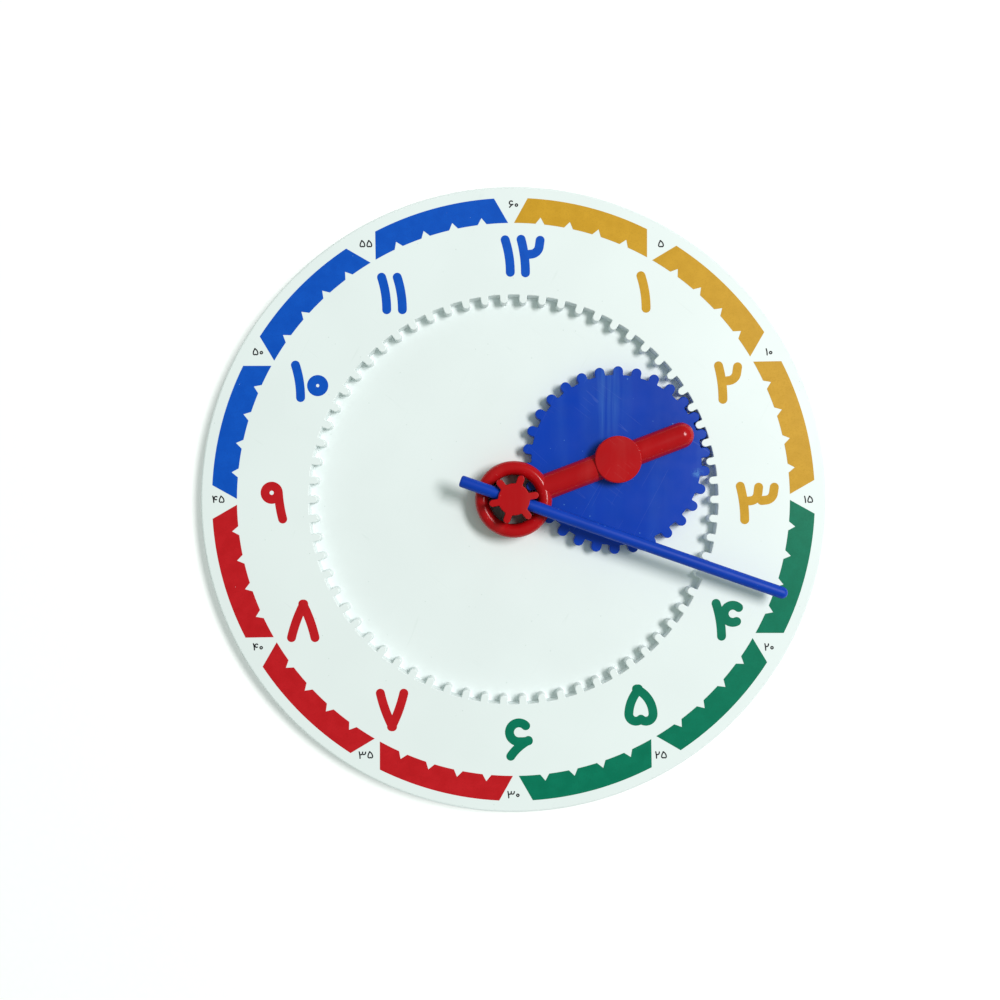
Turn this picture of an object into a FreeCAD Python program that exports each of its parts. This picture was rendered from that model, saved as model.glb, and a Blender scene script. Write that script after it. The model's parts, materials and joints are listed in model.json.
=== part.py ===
import FreeCAD, Part
import math
import os

import Sketcher
from FreeCAD import Placement, Rotation, Vector

# Geared teaching clock, lying on its back with its face up.
# The origin is the centre of the dial at its back plane.
# +Z comes out of the face and +Y points at 12 o'clock.
# The ring of teeth in the dial is fixed. The minute rod turns the sun pinion and the pinion turns the
# planet gear, which rolls round the ring and carries the hour arm: 1 + 66/6 = 12 turns to one.
# Lengths are in millimetres and angles in degrees.

SIZES = {
    # Dial moulding
    "dial_radius": 128.0,
    "skirt_wall": 2.0,
    "plate_wall": 2.0,
    "floor_wall": 1.8,
    "back_space": 2.4,
    "well_depth": 5.0,
    "ring_wall": 2.4,
    "rim_chamfer": 0.8,
    "rib_width": 1.5,
    "rib_lift": 0.6,
    "rib_count": 12,
    "collar_radius": 7.0,
    "collar_wall": 1.5,
    # Gear train
    "gear_module": 2.5,
    "sun_teeth": 6,
    "planet_teeth": 30,
    "ring_addendum": 2.25,
    "planet_addendum": 0.9,
    "sun_addendum": 2.4,
    "tip_clearance": 0.3,
    "ring_tooth_width": 3.15,
    "ring_backlash": 0.6,
    "sun_backlash": 0.95,
    "gear_height": 5.5,
    "gear_face_wall": 1.8,
    "gear_rim_wall": 2.2,
    "gear_hub_wall": 2.0,
    "gear_rib_width": 1.4,
    "gear_rib_count": 10,
    # Hour arm
    "hub_radius": 15.6,
    "boss_radius": 9.5,
    "boss_height": 5.8,
    "boss_chamfer": 0.4,
    "arm_width": 10.7,
    "pointer_reach": 78.3,
    "pin_radius": 4.0,
    "pin_chamfer": 0.5,
    # Minute hand
    "rod_radius": 2.4,
    "rod_reach": 115.0,
    "rod_tail": 22.5,
    "tail_round": 0.9,
    "rod_over_boss": 0.9,
    "pinion_cap": 3.8,
    "spigot_radius": 3.5,
    # Screw and washer under the floor
    "screw_radius": 1.4,
    "screw_length": 11.0,
    "head_radius": 3.3,
    "head_height": 1.6,
    "head_chamfer": 0.7,
    "recess_width": 0.9,
    "recess_length": 3.6,
    "recess_depth": 0.9,
    "washer_radius": 4.6,
    "washer_thickness": 0.5,
    # Clearances
    "running_fit": 0.05,
    "slip_gap": 0.2,
    "window_gap": 0.5,
    "end_play": 0.1,
    # Time shown, as the hour arm's clockwise angle from 12
    "hour_angle": 69.1,
}

# The hub ring's half-round crest is turned as this many narrow flats.
CREST_FLATS = 6


class Size:
    """A length known both as a number and as an expression on the sheet."""

    def __init__(self, value, text):
        self.value = value
        self.text = text

    def combine(self, other, sign, swap=False):
        other = other if isinstance(other, Size) else Size(other, repr(other))
        first, second = (other, self) if swap else (self, other)
        results = {
            "+": lambda: first.value + second.value,
            "-": lambda: first.value - second.value,
            "*": lambda: first.value * second.value,
            "/": lambda: first.value / second.value,
        }
        return Size(results[sign](), f"({first.text} {sign} {second.text})")

    def __add__(self, other):
        return self.combine(other, "+")

    def __radd__(self, other):
        return self.combine(other, "+", swap=True)

    def __sub__(self, other):
        return self.combine(other, "-")

    def __rsub__(self, other):
        return self.combine(other, "-", swap=True)

    def __mul__(self, other):
        return self.combine(other, "*")

    def __rmul__(self, other):
        return self.combine(other, "*", swap=True)

    def __truediv__(self, other):
        return self.combine(other, "/")

    def __rtruediv__(self, other):
        return self.combine(other, "/", swap=True)

    def __neg__(self):
        return self.combine(0, "-", swap=True)


doc = FreeCAD.newDocument("GearedClock")
sheet = doc.addObject("Spreadsheet::Sheet", "Sizes")
for row, (alias, number) in enumerate(SIZES.items(), start=1):
    sheet.set(f"A{row}", alias)
    sheet.set(f"B{row}", str(number))
    sheet.setAlias(f"B{row}", alias)
doc.recompute()

size = {alias: Size(number, f"Sizes.{alias}") for alias, number in SIZES.items()}
zero = Size(0.0, "0")


# --- Sizes worked out from the driving ones ---

floor_top = size["back_space"] + size["floor_wall"]
rim_top = floor_top + size["well_depth"]
plate_under = rim_top - size["plate_wall"]

ring_teeth = size["sun_teeth"] + 2 * size["planet_teeth"]
ring_pitch = size["gear_module"] * ring_teeth / 2
planet_pitch = size["gear_module"] * size["planet_teeth"] / 2
sun_pitch = size["gear_module"] * size["sun_teeth"] / 2
centre_distance = sun_pitch + planet_pitch
tooth_pitch = math.pi * size["gear_module"]

ring_tip = ring_pitch - size["ring_addendum"]
ring_root = ring_pitch + size["planet_addendum"] + size["tip_clearance"]
planet_tip = planet_pitch + size["planet_addendum"]
planet_root = planet_pitch - size["sun_addendum"] - size["tip_clearance"]
sun_tip = sun_pitch + size["sun_addendum"]
sun_root = sun_pitch - size["planet_addendum"] - size["tip_clearance"]
planet_tooth_width = tooth_pitch - size["ring_tooth_width"] - size["ring_backlash"]
sun_tooth_width = tooth_pitch - planet_tooth_width - size["sun_backlash"]

gear_top = floor_top + size["gear_height"]
arm_under = gear_top + size["slip_gap"]
arm_foot = floor_top + size["slip_gap"]
arm_top = arm_under + size["arm_width"] / 2
boss_top = arm_under + size["boss_height"]
rod_level = boss_top + size["rod_over_boss"] + size["rod_radius"]
pinion_top = rod_level + size["pinion_cap"]
spigot_end = size["back_space"] - size["end_play"]
washer_under = spigot_end - size["washer_thickness"]
head_under = washer_under - size["head_height"]

# At 12 o'clock a gap of the ring, a tooth of the planet and a gap of the pinion lie on the line of centres.
ring_phase = 180 / ring_teeth
sun_phase = 180 / size["sun_teeth"]
hour_turn = -size["hour_angle"]
minute_turn = hour_turn * (1 + ring_teeth / size["sun_teeth"])
planet_turn = hour_turn * (1 - ring_teeth / size["planet_teeth"])
carrier_across = Size(
    centre_distance.value * math.sin(math.radians(SIZES["hour_angle"])),
    f"({centre_distance.text} * sin({size['hour_angle'].text} * 1deg))",
)
carrier_up = Size(
    centre_distance.value * math.cos(math.radians(SIZES["hour_angle"])),
    f"({centre_distance.text} * cos({size['hour_angle'].text} * 1deg))",
)


# --- Drawing helpers ---

def new_body(label):
    """Start a sub-part: a PartDesign body that carries its node's name."""
    body = doc.addObject("PartDesign::Body", label)
    body.Label = label
    return body


def origin_feature(body, role):
    """Find one of a body's own origin planes or axes by its role."""
    return next(item for item in body.Origin.OriginFeatures if item.Role == role)


def new_sketch(body, name, role, level=None, phase=None):
    """Start a sketch on one of the body's origin planes, raised by level and turned by phase."""
    sketch = body.newObject("Sketcher::SketchObject", name)
    sketch.AttachmentSupport = [(origin_feature(body, role), "")]
    sketch.MapMode = "FlatFace"
    height = level.value if level else 0
    turn = phase.value if phase else 0
    sketch.AttachmentOffset = Placement(Vector(0, 0, height), Rotation(Vector(0, 0, 1), turn))
    if level:
        sketch.setExpression("AttachmentOffset.Base.z", level.text)
    if phase:
        sketch.setExpression("AttachmentOffset.Rotation.Angle", phase.text)
    return sketch


def bind(sketch, name, length, kind, *where):
    """Add a dimension to a sketch and tie it to the sheet."""
    number = sketch.addConstraint(Sketcher.Constraint(kind, *where, length.value))
    sketch.renameConstraint(number, name)
    sketch.setExpression(f"Constraints.{name}", length.text)


def place_point(sketch, name, geometry, point, across, up):
    """Tie a point of a sketch to its two distances from the sketch's origin."""
    for kind, suffix, length in (("DistanceX", "x", across), ("DistanceY", "y", up)):
        bind(sketch, f"{name}_{suffix}", length, kind, -1, 1, geometry, point)


def draw_outline(sketch, corners, name="corner"):
    """Draw a closed outline of straight lines through (across, up) corners."""
    spots = [Vector(across.value, up.value, 0) for across, up in corners]
    first = sketch.GeometryCount
    count = len(spots)
    for index in range(count):
        sketch.addGeometry(Part.LineSegment(spots[index], spots[(index + 1) % count]))
    for index in range(count):
        following = first + (index + 1) % count
        sketch.addConstraint(Sketcher.Constraint("Coincident", first + index, 2, following, 1))
    for index, (across, up) in enumerate(corners):
        place_point(sketch, f"{name}{index}", first + index, 1, across, up)


def draw_circle(sketch, name, radius, across=zero, up=zero):
    """Draw a circle at a named place."""
    centre = Vector(across.value, up.value, 0)
    number = sketch.addGeometry(Part.Circle(centre, Vector(0, 0, 1), radius.value))
    bind(sketch, f"{name}_radius", radius, "Radius", number)
    place_point(sketch, name, number, 3, across, up)


def draw_finger(sketch, base, tip, width):
    """Draw one round-ended tooth along the sketch's upright axis, from its base out or in to its tip."""
    half = width / 2
    sense = 1 if tip.value > base.value else -1
    crown = tip - half * sense
    corners = [(-half, base), (-half, crown), (half, crown), (half, base)]
    left_foot, left_top, right_top, right_foot = (Vector(across.value, up.value, 0) for across, up in corners)
    for begin, end in ((left_foot, left_top), (right_top, right_foot), (right_foot, left_foot)):
        sketch.addGeometry(Part.LineSegment(begin, end))
    left, right, heel = 0, 1, 2
    circle = Part.Circle(Vector(0, crown.value, 0), Vector(0, 0, 1), half.value)
    start = 0 if sense == 1 else math.pi
    arc = sketch.addGeometry(Part.ArcOfCircle(circle, start, start + math.pi))
    left_end, right_end = (2, 1) if sense == 1 else (1, 2)
    sketch.addConstraint(Sketcher.Constraint("Coincident", left, 2, arc, left_end))
    sketch.addConstraint(Sketcher.Constraint("Coincident", right, 1, arc, right_end))
    sketch.addConstraint(Sketcher.Constraint("Coincident", right, 2, heel, 1))
    sketch.addConstraint(Sketcher.Constraint("Coincident", heel, 2, left, 1))
    place_point(sketch, "left_foot", left, 1, *corners[0])
    place_point(sketch, "left_top", left, 2, *corners[1])
    place_point(sketch, "right_top", right, 1, *corners[2])
    place_point(sketch, "right_foot", right, 2, *corners[3])
    bind(sketch, "crown", crown, "DistanceY", -1, 1, arc, 3)


def draw_half_round(sketch, radius, level):
    """Draw the bar's section: a half disc that stands on its flat side at level."""
    left = Vector(-radius.value, level.value, 0)
    right = Vector(radius.value, level.value, 0)
    sketch.addGeometry(Part.LineSegment(left, right))
    middle = Vector(0, level.value, 0)
    arc = sketch.addGeometry(Part.ArcOfCircle(Part.Circle(middle, Vector(0, 0, 1), radius.value), 0, math.pi))
    sketch.addConstraint(Sketcher.Constraint("Coincident", 0, 2, arc, 1))
    sketch.addConstraint(Sketcher.Constraint("Coincident", arc, 2, 0, 1))
    place_point(sketch, "left", 0, 1, -radius, level)
    place_point(sketch, "right", 0, 2, radius, level)
    bind(sketch, "middle_y", level, "DistanceY", -1, 1, arc, 3)


def draw_quarter(sketch, across, radius, level):
    """Draw a quarter disc whose upright side, drawn first, is the axis of the pointer's rounded end."""
    foot = Vector(across.value, level.value, 0)
    top = Vector(across.value, level.value + radius.value, 0)
    side = Vector(across.value + radius.value, level.value, 0)
    sketch.addGeometry(Part.LineSegment(top, foot))
    sketch.addGeometry(Part.LineSegment(foot, side))
    circle = Part.Circle(foot, Vector(0, 0, 1), radius.value)
    arc = sketch.addGeometry(Part.ArcOfCircle(circle, 0, math.pi / 2))
    sketch.addConstraint(Sketcher.Constraint("Coincident", 0, 2, 1, 1))
    sketch.addConstraint(Sketcher.Constraint("Coincident", 1, 2, arc, 1))
    sketch.addConstraint(Sketcher.Constraint("Coincident", arc, 2, 0, 1))
    sketch.addConstraint(Sketcher.Constraint("Coincident", arc, 3, 0, 2))
    place_point(sketch, "top", 0, 1, across, level + radius)
    place_point(sketch, "foot", 0, 2, across, level)
    bind(sketch, "side_y", level, "DistanceY", -1, 1, 1, 2)


def pad(body, sketch, name, length):
    """Raise a sketch along its own normal."""
    feature = body.newObject("PartDesign::Pad", name)
    feature.Profile = sketch
    feature.Length = length.value
    feature.setExpression("Length", length.text)
    return feature


def pocket(body, sketch, name, length, along_normal):
    """Cut a sketch into the body, and make sure that it takes material away."""
    doc.recompute()
    before = body.Shape.Volume
    feature = body.newObject("PartDesign::Pocket", name)
    feature.Profile = sketch
    feature.Length = length.value
    feature.setExpression("Length", length.text)
    feature.Reversed = along_normal
    doc.recompute()
    if feature.Shape.Volume >= before:
        raise RuntimeError(f"{name} cuts nothing")
    return feature


def revolve(body, sketch, name, axis="V_Axis"):
    """Turn a sketch once round one of its own axes."""
    feature = body.newObject("PartDesign::Revolution", name)
    feature.Profile = sketch
    feature.ReferenceAxis = (sketch, [axis])
    feature.Angle = 360
    return feature


def repeat_round(body, feature, name, count):
    """Repeat a feature evenly round the body's own Z axis."""
    pattern = body.newObject("PartDesign::PolarPattern", name)
    pattern.Originals = [feature]
    pattern.Axis = (origin_feature(body, "Z_Axis"), [""])
    pattern.Angle = 360
    pattern.Occurrences = round(count.value)
    pattern.setExpression("Occurrences", count.text)
    body.Tip = pattern
    return pattern


def round_edges_at(feature, radius, level):
    """Name the circular edges of a feature that have this radius and height."""
    names = []
    for index, edge in enumerate(feature.Shape.Edges, start=1):
        if edge.Degenerated or not isinstance(edge.Curve, Part.Circle):
            continue
        curve = edge.Curve
        same_size = abs(curve.Radius - radius.value) < 1e-4
        same_level = abs(curve.Center.z - level.value) < 1e-4 and abs(curve.Axis.z) > 0.999
        if same_size and same_level:
            names.append(f"Edge{index}")
    if not names:
        raise RuntimeError(f"{feature.Name} has no round edge at that height")
    return names


def chamfer(body, name, amount, radius, level):
    """Chamfer the circular edges of the body's last feature at a radius and height."""
    doc.recompute()
    base = body.Tip
    edges = round_edges_at(base, radius, level)
    feature = body.newObject("PartDesign::Chamfer", name)
    feature.Base = (base, edges)
    feature.Size = amount.value
    feature.setExpression("Size", amount.text)
    return feature


def set_place(body, turn, across=zero, up=zero):
    """Turn a body about its own Z axis and carry it to its place in the clock."""
    body.Placement = Placement(Vector(across.value, up.value, 0), Rotation(Vector(0, 0, 1), 1))
    body.setExpression("Placement.Rotation.Angle", turn.text)
    body.setExpression("Placement.Base.x", across.text)
    body.setExpression("Placement.Base.y", up.text)


# --- Sub-parts ---

def make_dial():
    """One moulding: face plate, skirt, gear well with its ring of teeth, and the ribs behind."""
    body = new_body("dial")
    hole = size["spigot_radius"] + size["running_fit"]
    collar_out = size["collar_radius"] + size["collar_wall"]
    ring_back = ring_root + size["ring_wall"]
    skirt_in = size["dial_radius"] - size["skirt_wall"]
    rib_in = (ring_back + skirt_in) / 2 - size["rib_width"] / 2
    rib_out = rib_in + size["rib_width"]
    back = size["back_space"]
    section = [
        (hole, back),
        (size["collar_radius"], back),
        (size["collar_radius"], zero),
        (collar_out, zero),
        (collar_out, back),
        (ring_root, back),
        (ring_root, zero),
        (ring_back, zero),
        (ring_back, plate_under),
        (rib_in, plate_under),
        (rib_in, size["rib_lift"]),
        (rib_out, size["rib_lift"]),
        (rib_out, plate_under),
        (skirt_in, plate_under),
        (skirt_in, zero),
        (size["dial_radius"], zero),
        (size["dial_radius"], rim_top),
        (ring_root, rim_top),
        (ring_root, floor_top),
        (hole, floor_top),
    ]
    sketch = new_sketch(body, "DialSection", "XZ_Plane")
    draw_outline(sketch, section)
    revolve(body, sketch, "DialMoulding")
    chamfer(body, "RimChamfer", size["rim_chamfer"], size["dial_radius"], rim_top)

    tooth = new_sketch(body, "RingTooth", "XY_Plane", floor_top - size["floor_wall"] / 2, ring_phase)
    draw_finger(tooth, ring_root + size["ring_wall"] / 2, ring_tip, size["ring_tooth_width"])
    tooth_pad = pad(body, tooth, "RingToothPad", size["well_depth"] + size["floor_wall"] / 2)
    repeat_round(body, tooth_pad, "RingTeeth", ring_teeth)

    spans = {
        "Floor": (collar_out - size["collar_wall"] / 2, ring_root + size["ring_wall"] / 2, back),
        "Plate": (ring_back - size["ring_wall"] / 2, skirt_in + size["skirt_wall"] / 2, plate_under),
    }
    half_rib = size["rib_width"] / 2
    for name, (inner, outer, top) in spans.items():
        strip = new_sketch(body, f"{name}Rib", "XY_Plane", size["rib_lift"])
        draw_outline(strip, [(inner, -half_rib), (outer, -half_rib), (outer, half_rib), (inner, half_rib)])
        height = top - size["rib_lift"] + size["rib_width"] / 2
        rib = pad(body, strip, f"{name}RibPad", height)
        repeat_round(body, rib, f"{name}Ribs", size["rib_count"])
    return body


def make_planet_gear():
    """Planet gear with round-ended teeth, hollow and ribbed below, rolling on the floor of the well."""
    body = new_body("planet_gear")
    bore = size["pin_radius"] + size["running_fit"]
    hub_edge = bore + size["gear_hub_wall"]
    rim_edge = planet_root - size["gear_rim_wall"]
    disc = new_sketch(body, "PlanetDisc", "XY_Plane", floor_top)
    draw_circle(disc, "web", planet_root)
    draw_circle(disc, "bore", bore)
    pad(body, disc, "PlanetDiscPad", size["gear_height"])
    hollow = new_sketch(body, "PlanetHollow", "XY_Plane", floor_top)
    draw_circle(hollow, "rim", rim_edge)
    draw_circle(hollow, "hub", hub_edge)
    pocket(body, hollow, "PlanetHollowCut", size["gear_height"] - size["gear_face_wall"], True)
    strip = new_sketch(body, "PlanetRib", "XY_Plane", floor_top + size["slip_gap"])
    inner = hub_edge - size["gear_hub_wall"] / 2
    outer = rim_edge + size["gear_rim_wall"] / 2
    half_rib = size["gear_rib_width"] / 2
    draw_outline(strip, [(inner, -half_rib), (outer, -half_rib), (outer, half_rib), (inner, half_rib)])
    rib = pad(body, strip, "PlanetRibPad", size["gear_height"] - size["gear_face_wall"])
    repeat_round(body, rib, "PlanetRibs", size["gear_rib_count"])
    tooth = new_sketch(body, "PlanetTooth", "XY_Plane", floor_top)
    draw_finger(tooth, planet_root - size["gear_rim_wall"] / 2, planet_tip, planet_tooth_width)
    tooth_pad = pad(body, tooth, "PlanetToothPad", size["gear_height"])
    repeat_round(body, tooth_pad, "PlanetTeeth", size["planet_teeth"])
    set_place(body, planet_turn, carrier_across, carrier_up)
    return body


def make_hour_arm():
    """Hour arm: hub ring round the pinion, half-round bar, boss with its pin, and pointer."""
    body = new_body("hour_arm")
    bore = sun_tip + size["running_fit"]
    crown = (size["hub_radius"] - bore) / 2
    middle = bore + crown
    shoulder = arm_top - crown
    section = [(bore, arm_foot), (size["hub_radius"], arm_foot)]
    for step in range(CREST_FLATS + 1):
        angle = math.pi * step / CREST_FLATS
        section.append((middle + crown * math.cos(angle), shoulder + crown * math.sin(angle)))
    hub = new_sketch(body, "HubSection", "XZ_Plane")
    draw_outline(hub, section)
    revolve(body, hub, "HubRing")

    window = new_sketch(body, "GearWindow", "XY_Plane", zero)
    draw_circle(window, "window", planet_tip + size["window_gap"], zero, centre_distance)
    pocket(body, window, "GearWindowCut", arm_under, True)

    # The bar starts in the middle of the hub's wall and ends in a ball of its own half width.
    half = size["arm_width"] / 2
    end = size["pointer_reach"] - half
    bar = new_sketch(body, "BarSection", "XZ_Plane", -middle)
    draw_half_round(bar, half, arm_under)
    pad(body, bar, "Bar", end - middle).Reversed = True
    ball = new_sketch(body, "PointerEnd", "YZ_Plane")
    draw_quarter(ball, end, half, arm_under)
    revolve(body, ball, "PointerBall", "Edge1")

    boss = new_sketch(body, "BossCircle", "XY_Plane", arm_under)
    draw_circle(boss, "boss", size["boss_radius"], zero, centre_distance)
    pad(body, boss, "Boss", size["boss_height"])
    chamfer(body, "BossChamfer", size["boss_chamfer"], size["boss_radius"], boss_top)
    pin = new_sketch(body, "PinCircle", "XY_Plane", arm_foot)
    draw_circle(pin, "pin", size["pin_radius"], zero, centre_distance)
    pad(body, pin, "Pin", arm_under - arm_foot + half / 2)
    chamfer(body, "PinChamfer", size["pin_chamfer"], size["pin_radius"], arm_foot)
    set_place(body, hour_turn)
    return body


def make_sun_pinion():
    """Six-toothed pinion with its spigot, the cross hole of the minute rod and the screw's pilot hole."""
    body = new_body("sun_pinion")
    core = new_sketch(body, "PinionCore", "XY_Plane", floor_top)
    draw_circle(core, "core", sun_root)
    pad(body, core, "PinionCorePad", pinion_top - floor_top)
    # The teeth straddle the Y axis, so that the rod along Y runs through two opposite gaps.
    tooth = new_sketch(body, "PinionTooth", "XY_Plane", floor_top, sun_phase)
    draw_finger(tooth, sun_root / 2, sun_tip, sun_tooth_width)
    tooth_pad = pad(body, tooth, "PinionToothPad", pinion_top - floor_top)
    repeat_round(body, tooth_pad, "PinionTeeth", size["sun_teeth"])
    spigot = new_sketch(body, "SpigotCircle", "XY_Plane", spigot_end)
    draw_circle(spigot, "spigot", size["spigot_radius"])
    pad(body, spigot, "Spigot", floor_top - spigot_end + size["floor_wall"])
    pilot = new_sketch(body, "PilotCircle", "XY_Plane", spigot_end)
    draw_circle(pilot, "pilot", size["screw_radius"] + size["running_fit"])
    pocket(body, pilot, "PilotHole", size["screw_length"], True)
    cross = new_sketch(body, "CrossCircle", "XZ_Plane", -sun_tip)
    draw_circle(cross, "cross", size["rod_radius"] + size["running_fit"], zero, rod_level)
    pocket(body, cross, "CrossHole", 2 * sun_tip, True)
    set_place(body, minute_turn)
    return body


def make_minute_rod():
    """Straight round rod through the pinion, the minute hand, with a domed point and a blunt tail."""
    body = new_body("minute_rod")
    radius = size["rod_radius"]
    corner_radius = size["tail_round"]
    top = rod_level + radius
    tail = -size["rod_tail"]
    near = tail + corner_radius
    far = size["rod_reach"] - radius
    edge_level = top - corner_radius
    spots = [(tail, rod_level), (far + radius, rod_level), (far, top), (near, top), (tail, edge_level)]
    foot, point, shoulder, neck, edge = (Vector(along.value, up.value, 0) for along, up in spots)
    sketch = new_sketch(body, "RodSection", "YZ_Plane")
    # The axis comes first, because the rod is turned round the sketch's first line.
    axis = sketch.addGeometry(Part.LineSegment(foot, point))
    side = sketch.addGeometry(Part.LineSegment(shoulder, neck))
    end = sketch.addGeometry(Part.LineSegment(edge, foot))
    dome_circle = Part.Circle(Vector(far.value, rod_level.value, 0), Vector(0, 0, 1), radius.value)
    dome = sketch.addGeometry(Part.ArcOfCircle(dome_circle, 0, math.pi / 2))
    corner_centre = Vector(near.value, edge_level.value, 0)
    corner_circle = Part.Circle(corner_centre, Vector(0, 0, 1), corner_radius.value)
    corner = sketch.addGeometry(Part.ArcOfCircle(corner_circle, math.pi / 2, math.pi))
    chain = (axis, dome, side, corner, end)
    for index, piece in enumerate(chain):
        following = chain[(index + 1) % len(chain)]
        sketch.addConstraint(Sketcher.Constraint("Coincident", piece, 2, following, 1))
    place_point(sketch, "tail", axis, 1, tail, rod_level)
    place_point(sketch, "point", axis, 2, far + radius, rod_level)
    place_point(sketch, "edge", end, 1, tail, edge_level)
    place_point(sketch, "dome_centre", dome, 3, far, rod_level)
    place_point(sketch, "corner_centre", corner, 3, near, edge_level)
    bind(sketch, "side_start", far, "DistanceX", -1, 1, side, 1)
    bind(sketch, "side_end", near, "DistanceX", -1, 1, side, 2)
    revolve(body, sketch, "Rod", "Edge1")
    set_place(body, minute_turn)
    return body


def make_center_screw():
    """Pan-head screw from behind, with a cross recess and a plain shank."""
    body = new_body("center_screw")
    head = new_sketch(body, "HeadCircle", "XY_Plane", head_under)
    draw_circle(head, "head", size["head_radius"])
    pad(body, head, "Head", size["head_height"])
    chamfer(body, "HeadChamfer", size["head_chamfer"], size["head_radius"], head_under)
    shank = new_sketch(body, "ShankCircle", "XY_Plane", washer_under)
    draw_circle(shank, "shank", size["screw_radius"])
    reach = size["washer_thickness"] + size["screw_length"] - size["screw_radius"]
    pad(body, shank, "Shank", reach)
    long_half = size["recess_length"] / 2
    short_half = size["recess_width"] / 2
    for name, (half_x, half_y) in {"Long": (long_half, short_half), "Short": (short_half, long_half)}.items():
        slot = new_sketch(body, f"{name}Slot", "XY_Plane", head_under)
        draw_outline(slot, [(-half_x, -half_y), (half_x, -half_y), (half_x, half_y), (-half_x, half_y)])
        pocket(body, slot, f"{name}SlotCut", size["recess_depth"], True)
    set_place(body, minute_turn)
    return body


def make_washer():
    """Flat washer between the screw's head and the end of the spigot."""
    body = new_body("washer")
    sketch = new_sketch(body, "WasherRing", "XY_Plane", washer_under)
    draw_circle(sketch, "outer", size["washer_radius"])
    draw_circle(sketch, "inner", size["screw_radius"] + size["end_play"])
    pad(body, sketch, "WasherPad", size["washer_thickness"])
    set_place(body, minute_turn)
    return body


def check_document(bodies):
    """Stop if any object failed, or if any sub-part isn't one valid solid."""
    for item in doc.Objects:
        if "Invalid" in item.State or "Error" in item.State:
            raise RuntimeError(f"{item.Label} failed: {item.State}")
    for body in bodies:
        shape = body.Shape
        if shape.isNull() or not shape.isValid() or len(shape.Solids) != 1:
            raise RuntimeError(f"{body.Label} is not one valid solid")


makers = (
    make_dial,
    make_planet_gear,
    make_hour_arm,
    make_sun_pinion,
    make_minute_rod,
    make_center_screw,
    make_washer,
)
sub_parts = [make() for make in makers]
doc.recompute()
check_document(sub_parts)

os.makedirs("parts", exist_ok=True)
for sub_part in sub_parts:
    sub_part.Shape.exportStep(f"parts/{sub_part.Label}.step")
    print(sub_part.Label, "volume", round(sub_part.Shape.Volume, 1), "mm3")
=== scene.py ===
"""Looks of a geared teaching clock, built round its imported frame.

The clock lies on its back with its face up: +Z comes out of the face and +Y points at 12 o'clock. Each piece
is modelled in millimetres on a bench, in its own plan, and is brought to metres and to its place when it is
done.
"""

import json
import logging
import math
from collections.abc import Callable, Iterable, Mapping, Sequence
from dataclasses import dataclass, replace
from enum import Enum
from typing import Any

import bmesh
import bpy
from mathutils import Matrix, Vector

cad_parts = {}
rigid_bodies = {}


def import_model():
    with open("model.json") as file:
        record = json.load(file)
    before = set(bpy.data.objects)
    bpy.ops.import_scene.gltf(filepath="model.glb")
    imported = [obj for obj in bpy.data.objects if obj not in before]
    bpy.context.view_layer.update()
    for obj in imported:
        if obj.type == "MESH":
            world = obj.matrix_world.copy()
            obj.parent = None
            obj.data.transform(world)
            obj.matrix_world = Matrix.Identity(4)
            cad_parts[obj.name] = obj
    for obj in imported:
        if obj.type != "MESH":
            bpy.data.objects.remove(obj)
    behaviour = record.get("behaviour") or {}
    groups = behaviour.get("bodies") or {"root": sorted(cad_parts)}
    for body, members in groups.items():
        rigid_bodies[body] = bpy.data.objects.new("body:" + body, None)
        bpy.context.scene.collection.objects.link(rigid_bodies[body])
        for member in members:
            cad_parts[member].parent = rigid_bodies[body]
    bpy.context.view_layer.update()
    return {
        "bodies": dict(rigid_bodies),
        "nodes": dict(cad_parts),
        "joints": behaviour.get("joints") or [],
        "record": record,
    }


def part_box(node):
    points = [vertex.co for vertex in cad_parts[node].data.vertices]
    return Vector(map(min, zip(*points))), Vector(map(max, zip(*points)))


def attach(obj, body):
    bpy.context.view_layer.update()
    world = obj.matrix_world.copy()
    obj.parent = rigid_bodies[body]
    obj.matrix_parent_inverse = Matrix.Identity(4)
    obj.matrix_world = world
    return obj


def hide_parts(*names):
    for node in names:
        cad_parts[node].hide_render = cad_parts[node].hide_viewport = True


LOG = logging.getLogger("clock")

MM = 0.001

RING_TEETH = 66
PLANET_TEETH = 30
SUN_TEETH = 6

HOURS = 12
HOUR = 360 / HOURS
MINUTE = 360 / 60

Point = tuple[float, float]


# --- Colours ---


@dataclass(frozen=True)
class Color:
    """A colour as it is written for screens, with channels from 0 to 255."""

    red: float
    green: float
    blue: float

    def linear(self, gain: float = 1.0) -> tuple[float, float, float, float]:
        """Give the linear colour with full opacity.

        Args:
            gain: How much lighter or darker than written.

        Returns:
            Four numbers that a colour socket takes.
        """
        channels = []
        for channel in (self.red, self.green, self.blue):
            share = channel / 255
            value = share / 12.92 if share <= 0.04045 else ((share + 0.055) / 1.055) ** 2.4
            channels.append(min(1.0, value * gain))
        return (channels[0], channels[1], channels[2], 1.0)

    def towards(self, other: "Color", share: float) -> "Color":
        """Mix this colour with another.

        Args:
            other: The colour to move towards.
            share: How far, from 0 to 1.

        Returns:
            The mixed colour.
        """
        return Color(
            self.red + (other.red - self.red) * share,
            self.green + (other.green - self.green) * share,
            self.blue + (other.blue - self.blue) * share,
        )


WHITE = Color(255, 255, 255)


class InkColor(Enum):
    """The inks of the printed dial."""

    ORANGE = Color(214, 160, 40)
    GREEN = Color(0, 120, 90)
    RED = Color(200, 24, 32)
    BLUE = Color(10, 84, 198)
    BLACK = Color(24, 26, 30)


# --- Shader boards ---


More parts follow.
